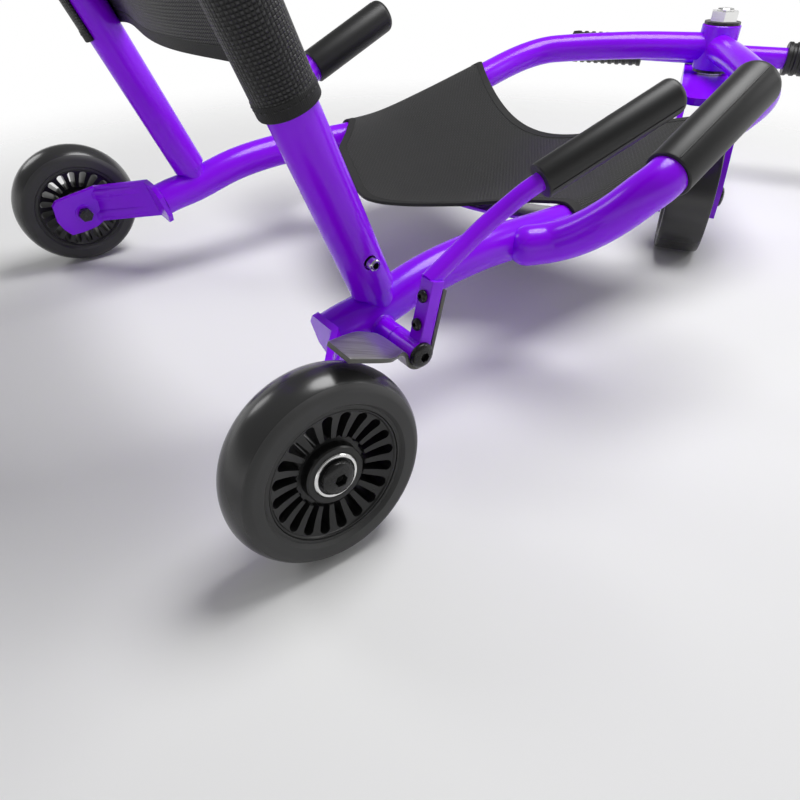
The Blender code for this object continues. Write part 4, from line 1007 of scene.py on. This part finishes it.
def dress_sling(name, node, half_width, sag, centre_line, rise, near_edge, far_edge,
                steps):
    """A woven sling, with taped and stitched edges."""
    section = sling_section(half_width, sag)
    near, far = ([edge(min(abs(x), half_width)) for x, _, _ in section]
                 for edge in (near_edge, far_edge))

    def sheet(starts, ends, pieces):
        """Rows of points between two edges, and their flat measures."""
        rows = []
        flat = []
        for (x, height, length), start, end in zip(section, starts, ends):
            places = [start + (end - start) * share for share in shares(pieces)]
            rows.append([centre_line(place) + Vector((x, 0, 0)) + rise * height
                         for place in places])
            flat.append([(length, place) for place in places])
        return rows, flat

    cloth = put(name, grid(*sheet(near, far, steps)), node, "black_weave")
    thickened(cloth, SLING_THICKNESS)
    trims = []
    tape_thickness = SLING_THICKNESS + BINDING_EXTRA
    for edge_name, edge, sign in (("rear", near, 1), ("front", far, -1)):
        rows, flat = sheet([place - sign * BINDING_OVER for place in edge],
                           [place + sign * BINDING_WIDTH for place in edge], BINDING_STEPS)
        tape = put(f"{name}_{edge_name}_tape", grid(rows, flat), material="black_binding")
        bevelled(thickened(tape, tape_thickness), BINDING_BEVEL)
        normals = []
        for row, after in zip(rows, rows[1:]):
            across = sign * (row[STITCH_STEP + 1] - row[STITCH_STEP - 1])
            normals.append((after[STITCH_STEP] - row[STITCH_STEP]).cross(across).normalized())
        line = [row[STITCH_STEP] + normal * tape_thickness / 2
                for row, normal in zip(rows, normals + normals[-1:])]
        trims += [tape, dress_stitches(f"{name}_{edge_name}_stitches", line, normals)]


def dress_seat():
    """The sling seat and the steel strap that crosses under it."""
    tube_heights = [(point.y, point.z) for point in FRAME_LINE]

    def rear(across):
        """The rear edge, its corners eased by an average over a short reach."""
        places = [abs(across + SEAT_REAR_EASE * i / 2) for i in range(-2, 3)]
        return sum(between_knots(SEAT_REAR, place) for place in places) / len(places)

    def front(across):
        return SEAT_WRAP_FRONT - SEAT_FRONT_HOLLOW * (1 - (across / FRAME_HALF_WIDTH) ** 2)

    def line(y):
        return Vector((0, y, between_knots(tube_heights, y)))

    dress_sling("woven_seat", "seat_sling",
                FRAME_HALF_WIDTH, SEAT_SAG, line, Vector((0, 0, 1)), rear, front, SEAT_STEPS)

    end = FRAME_HALF_WIDTH - TUBE_RADIUS + STRAP_INTO_TUBE
    rows = []
    for x in (end * (2 * share - 1) for share in shares(STRAP_STEPS)):
        rows.append([(x, y, STRAP_HEIGHT + STRAP_RISE * (x / end) ** 2) for y in STRAP_EDGES])
    strap = put("curved_strap", grid(rows), "seat_cross_strap")
    bevelled(thickened(strap, STRAP_THICKNESS), STRAP_BEVEL)


def dress_panel():
    """The woven backrest panel between the legs of the hoop."""
    def hollow(across):
        return PANEL_EDGE_HOLLOW * (1 - (across / HOOP_HALF_WIDTH) ** 2)

    dress_sling("woven_panel", "backrest_panel", HOOP_HALF_WIDTH, PANEL_SAG,
                lambda up: hoop_point(up, 0.0), slanted(HOOP_LEAN_DEGREES)[0],
                lambda across: PANEL_EDGES[0] + hollow(across),
                lambda across: PANEL_EDGES[1] - hollow(across), PANEL_STEPS)


# Grips
def dress_grip(name, node, place, direction, sizes, body, seam_up):
    """A rubber grip with a rolled mouth, a domed end and the raised seam of its mould."""
    radius, bore, length, cap = sizes
    section = [(0, length)]
    section += [(radius - cap * (1 - across), length - cap * (1 - height))
                for across, height in arc((0, 0), 1.0, *GRIP_DOME)]
    section.append((radius, GRIP_MOUTH))
    section += [(radius - GRIP_MOUTH * (1 - cos(angle)), GRIP_MOUTH * (1 - sin(angle)))
                for angle in (pi / 6, pi / 3, pi / 2)]
    section += [(bore, 0), (bore, length - cap), (0, length - cap)]
    put(name, lathe(section), node, "black_rubber", body, along_x(place, direction))
    out = (seam_up - direction * seam_up.dot(direction)).normalized()
    line = [place + direction * (SEAM_START + (length - cap - SEAM_START) * share) + out * radius
            for share in shares(SEAM_STEPS)]
    put(name + "_seam", sweep(line, SEAM_RADIUS, 12), material="black_rubber", body=body)


def dress_side_handles():
    """The horns beside the seat, with a grip on each."""
    direction = Vector(GRIP_DIRECTION).normalized()
    grip_foot = Vector(GRIP_FOOT)
    line = smooth(HANDLE_PATH + [GRIP_FOOT], PATH_STEP, last=direction)
    line.append(grip_foot + direction * (GRIP_LENGTH - GRIP_CAP))
    start = (line[0] - line[1]).normalized()
    angles = [radians(angle) for angle in HANDLE_NOSE_DEGREES]
    nose = [line[0] + start * TUBE_RADIUS * cos(angle) for angle in angles]
    scales = [sin(angle) for angle in angles] + [1.0] * len(line)
    for side in SIDES:
        path = [mirrored(side, point) for point in nose + line]
        put(f"horn_{side}", sweep(path, TUBE_RADIUS, scales=scales), f"side_handle_{side}")
        dress_grip(f"moulded_grip_{side}", f"handle_grip_{side}",
                   mirrored(side, grip_foot + direction * GRIP_CAP / 2), mirrored(side, direction),
                   GRIP, "frame", mirrored(side, (0.5, 0, 1)))


# Brake
def shoe_rows():
    """The brake shoe's strip, from its top down round the sleeve and back over the tyre."""
    radius = BRAKE_TUBE_RADIUS + GAP + SHOE_THICKNESS / 2
    pairs = [[bracket_point(x, radius, up) for x in BRACKET_X]
             for up in (SHOE_TOP, SHOE_TOP / 2, SHOE_TOP / 4, 0.0)]
    wrap = arc(BRAKE_PIVOT[1:], radius, -BRACKET_LEAN_DEGREES, SHOE_WRAP_END_DEGREES, ARC_STEPS)
    pairs += [[Vector((x, y, z)) for x in BRACKET_X] for y, z in wrap[1:]]
    inner = smooth([pairs[-1][0]] + [(near, y, z) for y, z, near, _ in SHOE_STATIONS], SHOE_STEP)
    outer = smooth([pairs[-1][1]] + [(far, y, z) for y, z, _, far in SHOE_STATIONS], SHOE_STEP)
    last = min(len(inner), len(outer)) - 1
    for i in range(1, last + 1):
        pairs.append([edge[round(i * (len(edge) - 1) / last)] for edge in (inner, outer)])
    return [[near.lerp(far, share) for share in shares(SHOE_ROWS_ACROSS)] for near, far in pairs]


def dress_brake_pivot():
    """The stub on the frame with its weld, and the sleeve and bolt on it."""
    pivot = Matrix.Translation(BRAKE_PIVOT)
    radius = BRAKE_TUBE_RADIUS
    stub = pin_section(radius, FRAME_HALF_WIDTH, BRAKE_STUB_END, SMALL_EDGE)
    put("pivot_stub", lathe(stub), "brake_stub", matrix=pivot)
    weld = [(radius + proud, x) for proud, x in BRAKE_WELD]
    put("pivot_weld", lathe(weld), matrix=pivot)
    sleeve = pin_section(radius, BRAKE_STUB_END + GAP, BRACKET_X[1], SMALL_EDGE, SMALL_EDGE)
    put("bracket_sleeve", lathe(sleeve), body="brake", matrix=pivot)
    domed_bolt("pivot_domed_bolt", "brake_pivot_bolt", BRAKE_BOLT, BRACKET_X[1] + GAP,
               BRAKE_STUB_END, BRAKE_BOLT_SOCKET, "frame", pivot)


def dress_brake():
    """The bracket, strip, buttons and lever that swing on the brake's pivot."""
    inner, outer = BRACKET_X
    back, front = BRACKET_Y
    sheet = BRACKET_SHEET
    channel = [(inner, back), (outer, back), (outer, front), (outer - sheet, front),
               (outer - sheet, back + sheet), (inner + sheet, back + sheet),
               (inner + sheet, front), (inner, front)]
    lean = turned(-BRACKET_LEAN_DEGREES, "X")
    middle = Matrix.Translation(bracket_point(0, 0, BRACKET_TOP / 2))
    bracket = put("channel_bracket", plate([channel], BRACKET_TOP), "brake_bracket", body="brake",
                  matrix=middle @ lean)
    bevelled(bracket, BRACKET_BEVEL)

    shoe = put("brushed_shoe", grid(shoe_rows()), "brake_shoe", "grey_steel", "brake",
               second="strip_edge")
    bevelled(thickened(shoe, SHOE_THICKNESS, rim=1), SHOE_BEVEL, 2, 60)

    rearward = -slanted(-BRACKET_LEAN_DEGREES)[0]
    for place, up in BUTTON_UPS.items():
        domed_bolt(f"bracket_button_{place}", f"brake_button_{place}", BUTTON, GAP - back,
                   -BRAKE_TUBE_RADIUS - BUTTON_END, BUTTON_SOCKET, "brake",
                   along_x(bracket_point((inner + outer) / 2, 0, up), rearward))

    straight = Vector(LEVER_GRIP_DIRECTION).normalized()
    grip_foot = Vector(LEVER_GRIP_FOOT)
    path = smooth(LEVER_PATH, PATH_STEP, last=straight)
    path.append(grip_foot + straight * (LEVER_GRIP_LENGTH - LEVER_GRIP_CAP))
    put("bent_lever", sweep(path, LEVER_RADIUS), "brake_lever", body="brake")
    dress_grip("moulded_lever_grip", "brake_lever_grip", grip_foot, straight, LEVER_GRIP, "brake",
               Vector((1, 0, -0.2)))


# Front swing
def fork_outline():
    """The side view of a fork plate, (forward from the pivot, height), round its hub end."""
    hub = (-TRAIL, WHEEL_RADIUS)
    back = hub[0] - FORK_HUB_RADIUS
    slope = (CROWN_TOP - FORK_BACK_HIGH) / tan(radians(FORK_SLOPE_DEGREES))
    underside = CROWN_TOP - FORK_DEPTH
    toe_run, toe_rise = FORK_TOE
    return arc(hub, FORK_HUB_RADIUS, *FORK_HUB_ARC_DEGREES, ARC_STEPS) + [
        (hub[0] + FORK_HUB_RADIUS, hub[1] + FORK_HUB_LIP), (CROWN_REAR + CROWN_CORNER, underside),
        (CROWN_FRONT - toe_run, underside), (CROWN_FRONT, underside + toe_rise),
        (CROWN_FRONT, CROWN_TOP), (back + slope, CROWN_TOP), (back, FORK_BACK_HIGH),
        (back, FORK_BACK_LOW)]


def crown_outline():
    """The crown's rectangle between the fork plates, with rounded corners."""
    x = FORK_INNER - CROWN_CORNER
    front = CROWN_FRONT - CROWN_CORNER
    rear = CROWN_REAR + CROWN_CORNER
    outline = []
    for quarter, centre in enumerate(((x, front), (-x, front), (-x, rear), (x, rear))):
        outline += arc(centre, CROWN_CORNER, 90 * quarter, 90 * quarter + 90, CROWN_CORNER_STEPS)
    return outline


def peg_section():
    """The section of a ridged rubber foot peg."""
    pitch = (PEG_LENGTH - 2 * PEG_CAP) / PEG_RIDGES
    points = [(0, PEG_LENGTH), (PEG_RADIUS - PEG_CAP / 2, PEG_LENGTH),
              (PEG_RADIUS - PEG_EDGE, PEG_LENGTH - PEG_END)]
    for ridge in range(PEG_RIDGES, 0, -1):
        points += [(PEG_RADIUS - depth, PEG_CAP + (ridge - share) * pitch)
                   for depth, share in PEG_WAVE]
    return points + [(PEG_RADIUS, PEG_CAP * 0.8), (PEG_RADIUS, PEG_EDGE),
                     (PEG_RADIUS - PEG_EDGE, 0), (FOOT_BAR_RADIUS, 0),
                     (FOOT_BAR_RADIUS, PEG_LENGTH - PEG_CAP), (0, PEG_LENGTH - PEG_CAP)]


def dress_front_swing():
    """The fork, its crown, the foot bar and its pegs."""
    turn = turned(90, "Z") @ turned(90, "X")
    bar_height = CROWN_TOP + FOOT_BAR_RADIUS + GAP
    mouth = FOOT_BAR_HALF + PEG_CAP - PEG_LENGTH
    for side, sign in SIDES.items():
        middle = Matrix.Translation((sign * (FORK_INNER + FORK_SHEET / 2), 0, 0))
        cheek = put(f"fork_cheek_{side}", plate([fork_outline()], FORK_SHEET),
                    f"fork_plate_{side}", body="front_swing", matrix=SWING @ middle @ turn)
        bevelled(cheek, FORK_BEVEL)
        peg_matrix = SWING @ along_x((sign * mouth, FOOT_BAR_AHEAD, bar_height), (sign, 0, 0))
        put(f"ridged_peg_{side}", lathe(peg_section()), f"foot_peg_{side}", "black_rubber",
            "front_swing", peg_matrix)
    middle = Matrix.Translation((0, 0, CROWN_TOP - CROWN_SHEET / 2))
    bridge = put("crown_bridge", plate([crown_outline()], CROWN_SHEET), "fork_crown",
                 body="front_swing", matrix=SWING @ middle)
    bevelled(bridge, CROWN_BEVEL)
    line = [(x, FOOT_BAR_AHEAD, bar_height) for x in (-FOOT_BAR_HALF, FOOT_BAR_HALF)]
    put("round_foot_bar", sweep(line, FOOT_BAR_RADIUS), "foot_bar", body="front_swing",
        matrix=SWING)


# Nodes that stay as they are, by a part of their names
KEPT_FINISHES = {"axle_spacer": "black_plastic", "hub_spacer": "bright_steel",
                 "head_bush": "black_plastic", "spindle": "bright_steel"}


def dress_kept_nodes():
    """The finish of the nodes that stay as they are."""
    for node_name, node in FRAME["nodes"].items():
        for part_name, material in KEPT_FINISHES.items():
            if part_name in node_name:
                node.data.materials.clear()
                node.data.materials.append(MATERIALS[material])


# Stage
def smooth_step(owner, value, start, end, low=0.0, high=1.0):
    """A value eased from low to high while another runs from start to end."""
    inputs = {"From Min": start, "From Max": end, "To Min": low, "To Max": high, "Value": value}
    return add_node(owner, "MapRange", inputs, interpolation_type="SMOOTHSTEP")["Result"]


def make_floor():
    """A pale floor that fades out to the white of the studio."""
    bpy.ops.mesh.primitive_plane_add(size=FLOOR_SIZE)
    floor = configured(bpy.context.object, name="floor", location=WORK)
    material = MATERIALS["floor_white"]
    nodes = material.node_tree.nodes
    place = add_node(material, "TexCoord")["Object"]
    distance = add_node(material, "VectorMath", {0: place, 1: FLOOR_CENTRE},
                        operation="DISTANCE")["Value"]
    mix = add_node(material, "MixShader", {0: smooth_step(material, distance, *FLOOR_FADE),
                                           1: nodes["Principled BSDF"].outputs[0],
                                           2: add_node(material, "BsdfTransparent")[0]})
    feed(material, nodes["Material Output"], {"Surface": mix[0]})
    floor.data.materials.append(material)


def make_light():
    """White low down all round and grey overhead, as in a white studio bay, and soft lamps."""
    world = bpy.data.worlds.new("studio")
    bpy.context.scene.world = world
    world.use_nodes = True
    up = add_node(world, "SeparateXYZ", {"Vector": add_node(world, "TexCoord")["Generated"]})["Z"]
    feed(world, world.node_tree.nodes["Background"],
         {"Strength": smooth_step(world, up, *WORLD_FADE, *WORLD_STRENGTHS),
          "Color": (1.0, 1.0, 1.0, 1.0)})
    for name, (place, target, (width, height), power) in LAMPS.items():
        lamp = configured(bpy.data.lights.new(name, "AREA"), shape="ELLIPSE", size=width,
                          size_y=height, energy=power)
        aim = (Vector(target) - Vector(place)).to_track_quat("-Z", "Y").to_euler()
        configured(new_object(name, lamp), location=Vector(place) + WORK, rotation_euler=aim)


def make_camera():
    """The photograph's viewpoint."""
    camera = configured(bpy.data.cameras.new("camera"), sensor_width=36, lens=CAMERA_LENS,
                        clip_start=0.01)
    bpy.context.scene.camera = configured(
        new_object("camera", camera), location=Vector(CAMERA_PLACE) + WORK,
        rotation_euler=(pi / 2 - CAMERA_PITCH, 0, CAMERA_YAW))


for old in list(bpy.data.objects):
    bpy.data.objects.remove(old)
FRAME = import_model()
JOINTS = {joint["name"]: joint for joint in FRAME["joints"]}
WORK = Vector((0, JOINTS["front_swing_turn"]["pos_m"][1] - PIVOT_Y, 0))
AXLE_HEIGHT = JOINTS["wheel_right_spin"]["pos_m"][2]
SWING = Matrix.Translation((0, PIVOT_Y, 0)) @ turned(SWING_DEGREES, "Z")
FRAME_LINE = frame_path()
MATERIALS = {name: make_material(name, **finish) for name, finish in FINISHES.items()}
dress_wheels()
dress_rear_arms()
dress_frame()
dress_hoop()
dress_seat()
dress_panel()
dress_side_handles()
dress_brake_pivot()
dress_brake()
dress_front_swing()
dress_kept_nodes()
make_floor()
make_light()
make_camera()
bpy.context.scene.view_settings.view_transform = "Standard"
